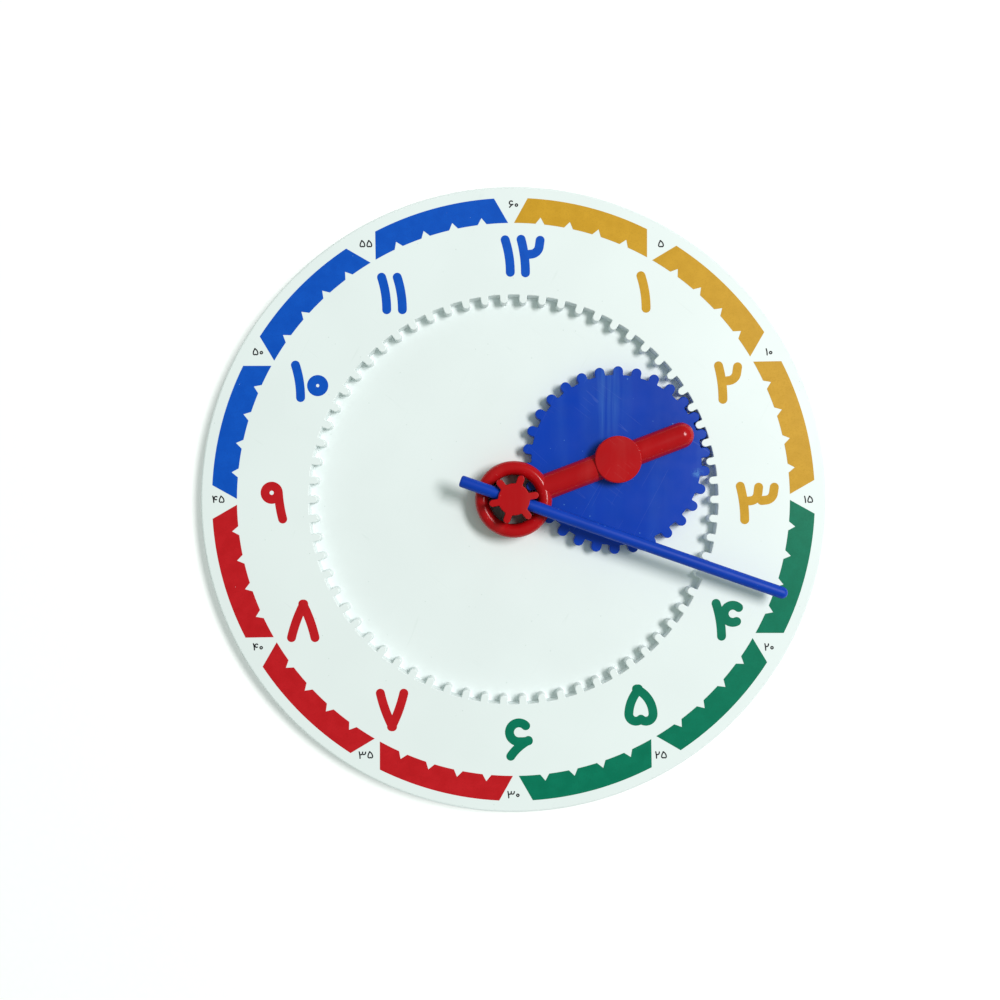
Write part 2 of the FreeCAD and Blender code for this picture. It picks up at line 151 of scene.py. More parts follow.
class Signal:
    """A number that varies over a surface; arithmetic on it adds Math nodes to its board."""

    def __init__(self, board: "Board", socket: bpy.types.NodeSocket) -> None:
        """Hold a socket of a board."""
        self.board = board
        self.socket = socket

    def _math(self, operation: str, first: "Number", second: "Number" = 0.0) -> "Signal":
        """Add one Math node.

        Args:
            operation: The node's operation.
            first: Its first value.
            second: Its second value.

        Returns:
            The node's result.
        """
        node = self.board.add("ShaderNodeMath", {"operation": operation}, {0: first, 1: second})
        return Signal(self.board, node.outputs[0])

    def __add__(self, other: "Number") -> "Signal":
        """Add a number."""
        return self._math("ADD", self, other)

    def __radd__(self, other: float) -> "Signal":
        """Add this to a number."""
        return self._math("ADD", other, self)

    def __sub__(self, other: "Number") -> "Signal":
        """Take a number away."""
        return self._math("SUBTRACT", self, other)

    def __rsub__(self, other: float) -> "Signal":
        """Take this away from a number."""
        return self._math("SUBTRACT", other, self)

    def __mul__(self, other: "Number") -> "Signal":
        """Multiply by a number."""
        return self._math("MULTIPLY", self, other)

    def __rmul__(self, other: float) -> "Signal":
        """Multiply a number by this."""
        return self._math("MULTIPLY", other, self)

    def __abs__(self) -> "Signal":
        """Drop the sign."""
        return self._math("ABSOLUTE", self)

    def rise(self, low: float, high: float) -> "Signal":
        """Climb smoothly from 0 at low to 1 at high; low above high falls instead.

        Args:
            low: Where the result is 0.
            high: Where the result is 1.

        Returns:
            A value from 0 to 1.
        """
        settings = {"interpolation_type": "SMOOTHSTEP", "clamp": True}
        inputs = {"Value": self, "From Min": low, "From Max": high, "To Min": 0.0, "To Max": 1.0}
        node = self.board.add("ShaderNodeMapRange", settings, inputs)
        return Signal(self.board, node.outputs[0])


Number = Signal | float

# A scratch lies where noise that is drawn out by the first crosses its middle, to this half width.
SCRATCH_STRETCH = 0.03
NOISE_MIDDLE = 0.5
SCRATCH_HALF = 0.006
# Scratches come in worn areas, larger than their spacing by the first, which fade in between these levels.
WORN_SIZE = 2.5
WORN_LEVELS = (0.62, 0.70)
# How sharply cells with a speck are told from those without.
SPECK_DRAW = 0.01


class Board:
    """A node tree that is filled in one way: kind of node, its settings, then its inputs."""

    def __init__(self, tree: bpy.types.NodeTree) -> None:
        """Clear a tree for use."""
        self.tree = tree
        self.tree.nodes.clear()

    def add(
        self,
        kind: str,
        settings: Mapping[str, Any] | None = None,
        inputs: Mapping[str | int, Any] | None = None,
    ) -> bpy.types.Node:
        """Add a node.

        Args:
            kind: The node's type.
            settings: Attributes of the node, set before its inputs.
            inputs: Values or links by socket name or number.

        Returns:
            The new node.
        """
        node = self.tree.nodes.new(kind)
        for name, value in (settings or {}).items():
            setattr(node, name, value)
        for key, value in (inputs or {}).items():
            if isinstance(value, Signal):
                self.tree.links.new(value.socket, node.inputs[key])
            elif isinstance(value, bpy.types.NodeSocket):
                self.tree.links.new(value, node.inputs[key])
            else:
                node.inputs[key].default_value = value
        return node

    def place(self, stretch: Sequence[float] = (1, 1, 1), turn: float = 0.0) -> bpy.types.NodeSocket:
        """Give the surface's own coordinates, in metres.

        Args:
            stretch: Scale along each axis; a smaller number draws a pattern out.
            turn: Turn about Z, in degrees, before the stretch.

        Returns:
            A vector socket.
        """
        place = self.add("ShaderNodeTexCoord").outputs["Object"]
        for change in ({"Rotation": (0, 0, math.radians(turn))}, {"Scale": stretch}):
            node = self.add("ShaderNodeMapping", {"vector_type": "POINT"}, {"Vector": place, **change})
            place = node.outputs[0]
        return place

    def length(self, vector: bpy.types.NodeSocket) -> Signal:
        """Give a vector's length."""
        node = self.add("ShaderNodeVectorMath", {"operation": "LENGTH"}, {0: vector})
        return Signal(self, node.outputs["Value"])

    def noise(
        self, place: bpy.types.NodeSocket, size: float, detail: float = 2.0, rough: float = 0.5
    ) -> Signal:
        """Add a cloudy pattern.

        Args:
            place: Where on the surface.
            size: Size of a cloud, in millimetres.
            detail: Number of finer layers.
            rough: Strength of the finer layers.

        Returns:
            A value near 0.5.
        """
        inputs = {"Vector": place, "Scale": 1 / (size * MM), "Detail": detail, "Roughness": rough}
        return Signal(self, self.add("ShaderNodeTexNoise", None, inputs).outputs[0])

    def specks(self, place: bpy.types.NodeSocket, spacing: float, radius: float, share: float) -> Signal:
        """Scatter small round specks.

        Args:
            place: Where on the surface.
            spacing: Size of the grid's cells, in millimetres.
            radius: Radius of a speck, as a share of a cell.
            share: Share of the cells that have a speck.

        Returns:
            1 on a speck and 0 elsewhere.
        """
        cells = self.add("ShaderNodeTexVoronoi", None, {"Vector": place, "Scale": 1 / (spacing * MM)})
        spot = Signal(self, cells.outputs["Distance"]).rise(radius, radius / 2)
        draw = self.add("ShaderNodeSeparateColor", None, {0: cells.outputs["Color"]})
        return spot * Signal(self, draw.outputs[0]).rise(1 - share, 1 - share + SPECK_DRAW)

    def scratches(self, turn: float, spacing: float, share: float) -> Signal:
        """Draw hair-fine scratches that run one way.

        Args:
            turn: Their direction, in degrees.
            spacing: Distance between neighbours, in millimetres.
            share: Share of the surface that has any.

        Returns:
            1 on a scratch and 0 elsewhere.
        """
        along = self.noise(self.place((1.0, SCRATCH_STRETCH, 1.0), turn), spacing, detail=1.0)
        line = abs(along - NOISE_MIDDLE).rise(SCRATCH_HALF, 0.0)
        low, high = (level - share for level in WORN_LEVELS)
        worn = self.noise(self.place(), spacing * WORN_SIZE, detail=1.0).rise(low, high)
        return line * worn

    def blend(self, share: Number, first: Any, second: Any) -> bpy.types.NodeSocket:
        """Mix two colours.

        Args:
            share: 0 for the first, 1 for the second.
            first: A colour or a colour socket.
            second: A colour or a colour socket.

        Returns:
            A colour socket.
        """
        inputs = {0: share, 6: first, 7: second}
        return self.add("ShaderNodeMix", {"data_type": "RGBA"}, inputs).outputs[2]

    def bump(self, height: Signal, depth: float) -> bpy.types.NodeSocket:
        """Raise a surface by a pattern.

        Args:
            height: The pattern, from 0 to 1.
            depth: Its full height, in millimetres.

        Returns:
            A normal socket.
        """
        inputs = {"Strength": 1.0, "Distance": depth * MM, "Height": height}
        return self.add("ShaderNodeBump", None, inputs).outputs[0]

    def surface(self, inputs: Mapping[str, Any]) -> None:
        """Finish the board with a Principled shader.

        Args:
            inputs: The shader's values and links.
        """
        shader = self.add("ShaderNodeBsdfPrincipled", None, inputs)
        self.add("ShaderNodeOutputMaterial", None, {"Surface": shader.outputs[0]})


def new_board(name: str) -> tuple[bpy.types.Material, Board]:
    """Start a material.

    Args:
        name: The material's name.

    Returns:
        The material and its empty board.
    """
    material = bpy.data.materials.new(name)
    material.use_nodes = True
    return material, Board(material.node_tree)


# --- Finishes ---


@dataclass(frozen=True)
class Patch:
    """A paler spot: its middle and its reach along each axis, its strength and its grain, in millimetres."""

    middle: tuple[float, float, float]
    reach: tuple[float, float, float]
    strength: float
    grain: float
    stretch: tuple[float, float, float] = (1.0, 1.0, 1.0)
    grain_rough: float = 0.7
    grain_levels: Point = (0.36, 0.7)
    core: float = 0.15

    def share(self, board: Board) -> Signal:
        """Give how pale the spot makes the surface.

        Args:
            board: The board that it is drawn on.

        Returns:
            0 far off, up to the spot's strength at its middle.
        """
        away = board.place()
        for operation, size in (("SUBTRACT", self.middle), ("DIVIDE", self.reach)):
            inputs = {0: away, 1: tuple(value * MM for value in size)}
            away = board.add("ShaderNodeVectorMath", {"operation": operation}, inputs).outputs[0]
        grain = board.noise(board.place(self.stretch), self.grain, detail=3.0, rough=self.grain_rough)
        nearness = board.length(away).rise(1.0, self.core)
        return self.strength * nearness * grain.rise(*self.grain_levels)


@dataclass(frozen=True)
class MouldedPlastic:
    """Injection-moulded plastic with cloudy tints, pale streaks, specks, scratches, pale patches and orange
    peel; on the blue gear the streaks and a long pale band are painted reflection.
    """

    name: str
    slot: str
    color: Color
    haze: Color
    roughness: float
    speck_share: float
    speck_contrast: float
    scratch_share: float
    scratch_contrast: float
    gloss: float = 0.3
    cloud_size: float = 6.0
    cloud_depth: float = 0.12
    tint_size: float = 22.0
    tint_depth: float = 0.05
    tint_levels: Point = (0.3, 0.7)
    streaks: float = 0.0
    streak_size: float = 9.0
    streak_stretch: tuple[float, float, float] = (1.0, 0.12, 1.0)
    streak_levels: Point = (0.46, 0.76)
    speck_spacing: float = 2.6
    speck_radius: float = 0.12
    speck_height: float = 2.0
    scratch_runs: tuple[Point, ...] = ((28.0, 7.0), (-51.0, 5.0))
    scratch_dullness: float = 0.15
    peel_depth: float = 0.006
    peel_size: float = 0.7
    patches: tuple[Patch, ...] = ()

    def material(self) -> bpy.types.Material:
        """Build the finish.

        Returns:
            The material.
        """
        material, board = new_board(self.name)
        here = board.place()
        haze = self.haze.linear()
        tint = board.noise(here, self.tint_size).rise(*self.tint_levels)
        dark, light = (self.color.linear(1 + side * self.tint_depth) for side in (-1, 1))
        color = board.blend(tint, dark, light)
        # Pale streaks drawn out up and down: moulding streaks on the red hand, painted reflection on the
        # blue gear.
        if self.streaks:
            flow_and_sheen = board.noise(board.place(self.streak_stretch), self.streak_size, detail=3.0)
            color = board.blend(self.streaks * flow_and_sheen.rise(*self.streak_levels), color, haze)
        speck = board.specks(here, self.speck_spacing, self.speck_radius, self.speck_share)
        first, second = (board.scratches(turn, gap, self.scratch_share) for turn, gap in self.scratch_runs)
        hair = first + second
        # Pale marks: dust specks, scratches and the patches, which are worn spots and, on the blue gear, a
        # painted reflection band.
        wear_and_sheen = speck * self.speck_contrast + hair * self.scratch_contrast
        for patch in self.patches:
            wear_and_sheen = wear_and_sheen + patch.share(board)
        cloud = self.cloud_depth * board.noise(here, self.cloud_size, detail=3.0)
        peel = board.noise(here, self.peel_size, detail=1.0)
        board.surface(
            {
                "Base Color": board.blend(wear_and_sheen, color, haze),
                "Roughness": self.roughness - self.cloud_depth / 2 + cloud + self.scratch_dullness * hair,
                "Specular IOR Level": self.gloss,
                "Normal": board.bump(peel + self.speck_height * speck - hair, self.peel_depth),
            }
        )
        return material


@dataclass(frozen=True)
class PrintedInk:
    """Screen-printed ink: an even film with a slightly thin, grainy lay and a few pinholes."""

    name: str
    color: Color
    gloss: float = 0.12
    roughness: float = 0.42
    lay_size: float = 5.0
    lay_levels: Point = (0.25, 0.75)
    thick_gain: float = 0.92
    thin_share: float = 0.02
    grain_size: float = 0.5
    grain_levels: Point = (0.45, 0.75)
    grain_strength: float = 0.5
    grain_gain: float = 0.8
    grain_depth: float = 0.16
    pinhole_spacing: float = 1.6
    pinhole_radius: float = 0.1
    pinhole_share: float = 0.02
    pinhole_paleness: float = 0.7
    relief: float = 0.006

    def material(self) -> bpy.types.Material:
        """Build the finish.

        Returns:
            The material.
        """
        material, board = new_board(self.name)
        here = board.place()
        lay = board.noise(here, self.lay_size, detail=3.0).rise(*self.lay_levels)
        thin = self.color.towards(WHITE, self.thin_share)
        color = board.blend(lay, self.color.linear(self.thick_gain), thin.linear())
        grain = board.noise(here, self.grain_size, detail=1.0)
        mottle = self.grain_strength * grain.rise(*self.grain_levels)
        color = board.blend(mottle, color, self.color.linear(self.grain_gain))
        pinhole = board.specks(here, self.pinhole_spacing, self.pinhole_radius, self.pinhole_share)
        bare = self.color.towards(WHITE, self.pinhole_paleness)
        board.surface(
            {
                "Base Color": board.blend(pinhole, color, bare.linear()),
                "Roughness": self.roughness - self.grain_depth / 2 + self.grain_depth * grain,
                "Specular IOR Level": self.gloss,
                "Normal": board.bump(grain - pinhole, self.relief),
            }
        )
        return material


@dataclass(frozen=True)
class PlatedSteel:
    """Zinc-plated steel with turning marks and dull patches."""

    name: str
    slot: str
    color: Color
    roughness: float = 0.3
    dull_size: float = 1.6
    dull_levels: Point = (0.35, 0.7)
    dull_gain: float = 0.72
    dull_roughness: float = 0.16
    turning_size: float = 0.5
    turning_stretch: tuple[float, float, float] = (1.0, 1.0, 8.0)
    turning_depth: float = 0.008

    def material(self) -> bpy.types.Material:
        """Build the finish.

        Returns:
            The material.
        """
        material, board = new_board(self.name)
        dull = board.noise(board.place(), self.dull_size, detail=3.0).rise(*self.dull_levels)
        turning = board.noise(board.place(self.turning_stretch), self.turning_size)
        board.surface(
            {
                "Base Color": board.blend(dull, self.color.linear(), self.color.linear(self.dull_gain)),
                "Metallic": 1.0,
                "Roughness": self.roughness + self.dull_roughness * dull,
                "Normal": board.bump(turning, self.turning_depth),
            }
        )
        return material


@dataclass(frozen=True)
class StudioPaper:
    """Pale paper floor: the camera sees it a little lighter than it is lit, and white far off.

    It keeps the shadows that fall near the clock.
    """

    name: str
    color: Color
    fibre_size: float = 3.0
    fibre_levels: Point = (0.3, 0.7)
    fibre_gain: float = 0.985
    lift: float = 0.22
    far_lift: float = 0.6
    near: float = 0.6
    far: float = 2.4

    def material(self) -> bpy.types.Material:
        """Build the finish.

        Returns:
            The material.
        """
        material, board = new_board(self.name)
        fibre = board.noise(board.place(), self.fibre_size, detail=4.0).rise(*self.fibre_levels)
        color = board.blend(fibre, self.color.linear(self.fibre_gain), self.color.linear())
        paper = board.add("ShaderNodeBsdfDiffuse", None, {"Color": color})
        rays = board.add("ShaderNodeLightPath")
        seen = Signal(board, rays.outputs["Is Camera Ray"]) + Signal(board, rays.outputs["Is Glossy Ray"])
        lift = self.lift + self.far_lift * board.length(board.place()).rise(self.near, self.far)
        glow = board.add("ShaderNodeEmission", None, {"Strength": seen * lift})
        both = board.add("ShaderNodeAddShader", None, {0: paper.outputs[0], 1: glow.outputs[0]})
        board.add("ShaderNodeOutputMaterial", None, {"Surface": both.outputs[0]})
        return material


Finish = MouldedPlastic | PrintedInk | PlatedSteel


WHITE_PLASTIC = MouldedPlastic(
    name="white_moulding",
    slot="white_plastic",
    color=Color(238, 244, 244),
    haze=Color(196, 208, 204),
    roughness=0.4,
    speck_share=0.08,
    speck_contrast=0.5,
    scratch_share=0.04,
    scratch_contrast=0.12,
    tint_size=40.0,
    tint_depth=0.012,
    peel_depth=0.004,
)
BLUE_PLASTIC = MouldedPlastic(
    name="blue_moulding",
    slot="blue_plastic",
    color=Color(4, 60, 177),
    haze=Color(98, 158, 222),
    roughness=0.24,
    speck_share=0.25,
    speck_contrast=0.6,
    scratch_share=0.06,
    scratch_contrast=0.04,
    # Painted reflection: faint pale streaks up and down the gear's face.
    streaks=0.05,
    patches=(
        Patch((74.9, 10.8, 9.7), (3.4, 2.6, 2.0), strength=0.75, grain=1.3),
        # Painted reflection: a long pale band up the gear's face.
        Patch((38.5, 42.0, 9.7), (7.5, 28.0, 2.0), strength=0.26, grain=3.0, stretch=(1.0, 0.04, 1.0)),
    ),
)
ROD_PLASTIC = replace(
    BLUE_PLASTIC, name="blue_rod_moulding", gloss=0.2, roughness=0.44, streaks=0.0, patches=()
)
RED_PLASTIC = MouldedPlastic(
    name="red_moulding",
    slot="red_plastic",
    color=Color(181, 16, 22),
    haze=Color(214, 96, 90),
    roughness=0.2,
    speck_share=0.2,
    speck_contrast=0.4,
    scratch_share=0.08,
    scratch_contrast=0.06,
    gloss=0.26,
    streaks=0.1,
)
STEEL = PlatedSteel("zinc_plated_steel", "steel", Color(214, 214, 220))
FLOOR_PAPER = StudioPaper("studio_paper", Color(244, 244, 244))


# --- The bench ---


class Plane(Enum):
    """A plane that the pen draws in, as its two axes and its normal."""

    PLAN = ((1, 0, 0), (0, 1, 0), (0, 0, 1))
    FRONT = ((1, 0, 0), (0, 0, 1), (0, -1, 0))
    SIDE = ((0, 1, 0), (0, 0, 1), (1, 0, 0))

    def spot(self, point: Point) -> Vector:
        """Give a drawn point's place in space."""
        across, up, _ = (Vector(axis) for axis in self.value)
        return across * point[0] + up * point[1]

    def normal(self) -> Vector:
        """Give the direction out of the drawing."""
        return Vector(self.value[2])


# Vertices closer than this are welded.
MERGE = 0.0005
# An arc's straight parts turn no more than this, in degrees, and are no longer than this.
ARC_STEP = 9.0
CHORD = 0.7
# Flats round a full turn.
ROUND_STEPS = 96
# How far a cutting tool reaches past what it cuts.
OVERCUT = 1.0
# A face is square to an axis when that part of its normal is more than this.
SQUARE = 0.99999


def turned(point: Point, clock_degrees: float) -> Point:
    """Turn a point clockwise about the origin.

    Args:
        point: The point.
        clock_degrees: How far it turns.

    Returns:
        Its new place.
    """
    angle = -math.radians(clock_degrees)
    across, up = point
    return (
        across * math.cos(angle) - up * math.sin(angle),
        across * math.sin(angle) + up * math.cos(angle),
    )


def polar(radius: float, clock_degrees: float) -> Point:
    """Give the point at a radius and at an angle clockwise from 12 o'clock."""
    return turned((0.0, radius), clock_degrees)


def clear_bench() -> None:
    """Leave edit mode and deselect everything."""
    if bpy.context.mode != "OBJECT":
        bpy.ops.object.mode_set(mode="OBJECT")
    bpy.ops.object.select_all(action="DESELECT")


def take(piece: bpy.types.Object) -> None:
    """Make one piece the selected and active one.

    Args:
        piece: The piece to work on.
    """
    clear_bench()
    piece.select_set(True)
    bpy.context.view_layer.objects.active = piece


def pick_faces(test: Callable[[Vector, Vector], bool]) -> None:
    """Select the faces of the mesh in edit mode that pass a test.

    Args:
        test: Takes a face's middle and its normal.
    """
    bpy.ops.mesh.select_all(action="DESELECT")
    bpy.ops.mesh.select_mode(type="FACE")
    mesh = bmesh.from_edit_mesh(bpy.context.object.data)
    for face in mesh.faces:
        face.select_set(test(face.calc_center_median(), face.normal))
    bmesh.update_edit_mesh(bpy.context.object.data)
    bpy.ops.mesh.select_mode(type="VERT")


def tidy_mesh() -> None:
    """Weld the mesh in edit mode, point its faces outwards and leave edit mode."""
    bpy.ops.mesh.select_all(action="SELECT")
    bpy.ops.mesh.remove_doubles(threshold=MERGE)
    bpy.ops.mesh.normals_make_consistent(inside=False)
    bpy.ops.object.mode_set(mode="OBJECT")


class Pen:
    """Draws outlines in edit mode, vertex by vertex, in one plane."""

    def __init__(self, name: str, plane: Plane = Plane.PLAN, level: float = 0.0) -> None:
        """Start a piece with an empty drawing.

        Args:
            name: The piece's name.
            plane: The plane to draw in.
            level: How far the drawing lies along the plane's normal.
        """
        clear_bench()
        bpy.ops.mesh.primitive_plane_add(size=1.0)
        self.piece = bpy.context.object
        self.piece.name = name
        self.plane = plane
        self.offset = plane.normal() * level
        self.at: Point = (0.0, 0.0)
        bpy.ops.object.mode_set(mode="EDIT")
        bpy.ops.mesh.delete(type="VERT")

    def start(self, point: Point) -> None:
        """Put the pen down at a new place.

        Args:
            point: Where a new outline begins.
        """
        bpy.ops.mesh.select_all(action="DESELECT")
        bpy.ops.mesh.primitive_plane_add(size=1.0)
        bpy.ops.mesh.merge(type="CENTER")
        bpy.ops.transform.translate(value=self.plane.spot(point) + self.offset)
        self.at = point

    def line(self, point: Point) -> None:
        """Draw a straight line.

        Args:
            point: Where it ends.
        """
        step = self.plane.spot(point) - self.plane.spot(self.at)
        bpy.ops.mesh.extrude_region_move(TRANSFORM_OT_translate={"value": step})
        self.at = point

    def lines(self, points: Iterable[Point]) -> None:
        """Draw straight lines through several points."""
        for point in points:
            self.line(point)

    def swing(self, centre: Point, degrees: float, steps: int = 0) -> None:
        """Draw an arc round a centre, anticlockwise for a positive angle.

        Args:
            centre: The arc's centre.
            degrees: How far it turns.
            steps: Number of straight parts, or 0 for the usual fineness.
        """
        chord_step = math.degrees(CHORD / max(math.dist(self.at, centre), MERGE))
        steps = steps or max(2, math.ceil(abs(degrees) / min(ARC_STEP, chord_step)))
        bpy.ops.mesh.spin(
            steps=steps,
            angle=-math.radians(degrees),
            center=self.plane.spot(centre) + self.offset,
            axis=self.plane.normal(),
        )
        across, up = turned((self.at[0] - centre[0], self.at[1] - centre[1]), -degrees)
        self.at = (centre[0] + across, centre[1] + up)

    def repeat(self, count: int) -> None:
        """Copy the whole drawing evenly round the origin.

        Args:
            count: How many there are round the full turn.
        """
        bpy.ops.mesh.select_all(action="SELECT")
        bpy.ops.mesh.spin(
            steps=count, angle=math.tau, center=self.offset, axis=self.plane.normal(), dupli=True
        )
        bpy.ops.mesh.select_all(action="SELECT")
        bpy.ops.mesh.remove_doubles(threshold=MERGE)

    def fill(self) -> None:
        """Close the outline that the pen is on and fill it with one face."""
        bpy.ops.mesh.select_linked()
        bpy.ops.mesh.remove_doubles(threshold=MERGE)
        bpy.ops.mesh.edge_face_add()

    def raise_all(self, height: float) -> bpy.types.Object:
        """Raise every filled face along the plane's normal into a solid.

        Args:
            height: How far.

        Returns:
            The finished solid.
        """
        bpy.ops.mesh.select_all(action="SELECT")
        bpy.ops.mesh.extrude_region_move(TRANSFORM_OT_translate={"value": self.plane.normal() * height})
        tidy_mesh()
        return self.piece

    def revolve(
        self, steps: int = ROUND_STEPS, axis: Vector | None = None, centre: Point = (0.0, 0.0)
    ) -> bpy.types.Object:
        """Turn the drawn line once round an axis.

        Args:
            steps: Number of flats round the turn.
            axis: The axis's direction, or None for the upright one.
            centre: A drawn point on the axis.

        Returns:
            The finished solid.
        """
        bpy.ops.mesh.select_all(action="SELECT")
        bpy.ops.mesh.spin(
            steps=steps,
            angle=math.tau,
            center=self.plane.spot(centre) + self.offset,
            axis=axis or Vector((0, 0, 1)),
        )
        tidy_mesh()
        return self.piece


def disc(
    name: str, radius: float, low: float, high: float, centre: Point = (0.0, 0.0)
) -> bpy.types.Object:
    """Model an upright round bar.

    Args:
        name: Its name.
        radius: Its radius.
        low: Height of its lower face.
        high: Height of its upper face.
        centre: Where its axis stands.

    Returns:
        The bar.
    """
    pen = Pen(name, level=low)
    pen.start((centre[0] + radius, centre[1]))
    pen.swing(centre, 360.0, ROUND_STEPS)
    pen.fill()
    return pen.raise_all(high - low)


class Joining(Enum):
    """What a tool does to the piece it meets."""

    ADD = "UNION"
    CUT = "DIFFERENCE"


def join(piece: bpy.types.Object, tool: bpy.types.Object, how: Joining) -> None:
    """Combine a piece with a tool, which is used up.

    Args:
        piece: The piece that stays.
        tool: The solid that is added or cut away.
        how: Whether it is added or cut.
    """
    take(piece)
    modifier = piece.modifiers.new("Joining", "BOOLEAN")
    modifier.object = tool
    modifier.operation = how.value
    modifier.solver = "EXACT"
    bpy.ops.object.modifier_apply(modifier=modifier.name)
    bpy.data.objects.remove(tool)


def soften(piece: bpy.types.Object, width: float, segments: int = 2, corner: float = 40.0) -> None:
    """Round a piece's sharp edges.

    Args:
        piece: The piece.
        width: Width of the rounding.
        segments: Number of flats across it.
        corner: The least angle, in degrees, that counts as sharp.
    """
    take(piece)
    modifier = piece.modifiers.new("Soft edges", "BEVEL")
    modifier.width = width
    modifier.segments = segments
    modifier.limit_method = "ANGLE"
    modifier.angle_limit = math.radians(corner)
    modifier.use_clamp_overlap = True
    modifier.miter_outer = "MITER_ARC"
    bpy.ops.object.modifier_apply(modifier=modifier.name)


def shade(piece: bpy.types.Object, corner: float = 38.0) -> None:
    """Shade a piece smooth up to a corner angle, with its level faces kept flat.

    Args:
        piece: The piece.
        corner: The least angle, in degrees, that stays a sharp edge.
    """
    take(piece)
    bpy.ops.object.shade_smooth_by_angle(angle=math.radians(corner))
    bpy.ops.object.mode_set(mode="EDIT")
    pick_faces(lambda middle, facing: abs(facing.z) > SQUARE)
    bpy.ops.mesh.faces_shade_flat()
    bpy.ops.object.mode_set(mode="OBJECT")
    modifier = piece.modifiers.new("Flat faces", "WEIGHTED_NORMAL")
    modifier.keep_sharp = True
    bpy.ops.object.modifier_apply(modifier=modifier.name)


def turn_about(piece: bpy.types.Object, clock_degrees: float, to: Point = (0.0, 0.0)) -> None:
    """Turn a piece clockwise about the origin and carry it to its place, in its mesh.

    Args:
        piece: The piece.
        clock_degrees: How far it turns.
        to: Where its own origin goes.
    """
    take(piece)
    piece.rotation_euler = (0.0, 0.0, -math.radians(clock_degrees))
    piece.location = (to[0], to[1], 0.0)
    bpy.ops.object.transform_apply(location=True, rotation=True, scale=True)


def hand_over(piece: bpy.types.Object, finish: Finish, body: str, replaces: str = "") -> None:
    """Bring a finished piece to metres, dress it and let it ride on its body.

    Args:
        piece: The piece, still in millimetres.
        finish: Its finish, whose material is made once.
        body: The body that it rides on.
        replaces: The node that it replaces, which is hidden, or nothing.
    """
    take(piece)
    piece.scale = (MM, MM, MM)
    bpy.ops.object.transform_apply(location=True, rotation=True, scale=True)
    piece.data.materials.clear()
    piece.data.materials.append(bpy.data.materials.get(finish.name) or finish.material())
    if replaces:
        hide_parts(replaces)
    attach(piece, body)
    LOG.info("%s rides on %s, %d faces", piece.name, body, len(piece.data.polygons))


# --- What the frame says ---


@dataclass(frozen=True)
class Setting:
    """Heights, places and turns that the pieces take from the frame, in millimetres and degrees."""

    face: float
    floor: float
    gear_top: float
    arm_foot: float
    boss_top: float
    rod_axis: float
    rod_radius: float
    pinion_low: float
    pinion_top: float
    gear_centre: Point
    gear_distance: float
    hour_turn: float

    @classmethod
    def read(cls, frame: Mapping[str, Any]) -> "Setting":
        """Read the frame.


        Returns:
            The setting.
        """
        low = {name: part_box(name)[0] / MM for name in frame["nodes"]}
        high = {name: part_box(name)[1] / MM for name in frame["nodes"]}
        joint = next(joint for joint in frame["joints"] if joint["name"] == "planet_turn")
        across, up, _ = (value / MM for value in joint["pos_m"])
        rod_radius = (high["minute_rod"].z - low["minute_rod"].z) / 2
        return cls(
            face=high["dial"].z,
            floor=low["planet_gear"].z,
            gear_top=high["planet_gear"].z,
            arm_foot=low["hour_arm"].z,
            boss_top=high["hour_arm"].z,
            rod_axis=low["minute_rod"].z + rod_radius,
            rod_radius=rod_radius,
            pinion_low=low["sun_pinion"].z,
            pinion_top=high["sun_pinion"].z,
            gear_centre=(across, up),
            gear_distance=math.hypot(across, up),
            hour_turn=math.degrees(math.atan2(across, up)),
        )


@dataclass(frozen=True)
class Toothing:
    """A ring of round-ended teeth that stand out of a circle, or into it where the tips lie inside."""

    root: float
    tip: float
    width: float
    count: int
    gap_steps: int
    phase: float = 0.0
    crown_steps: int = 14

    def draw(self, pen: Pen) -> None:
        """Draw one tooth with half a gap on each side, then the whole ring, and fill it.

        Args:
            pen: The pen that draws.
        """
        half = self.width / 2
        outward = self.tip > self.root
        crown = self.tip - half if outward else self.tip + half
        foot = math.sqrt(self.root**2 - half**2)
        gap = 180 / self.count - math.degrees(math.asin(half / self.root))
        pen.start(polar(self.root, self.phase - 180 / self.count))
        pen.swing((0.0, 0.0), -gap, self.gap_steps)
        pen.line(turned((-half, crown), self.phase))
        pen.swing(polar(crown, self.phase), -180.0 if outward else 180.0, self.crown_steps)
        pen.line(turned((half, foot), self.phase))
        pen.swing((0.0, 0.0), -gap, self.gap_steps)
        pen.repeat(self.count)
        pen.fill()


# --- The dial ---


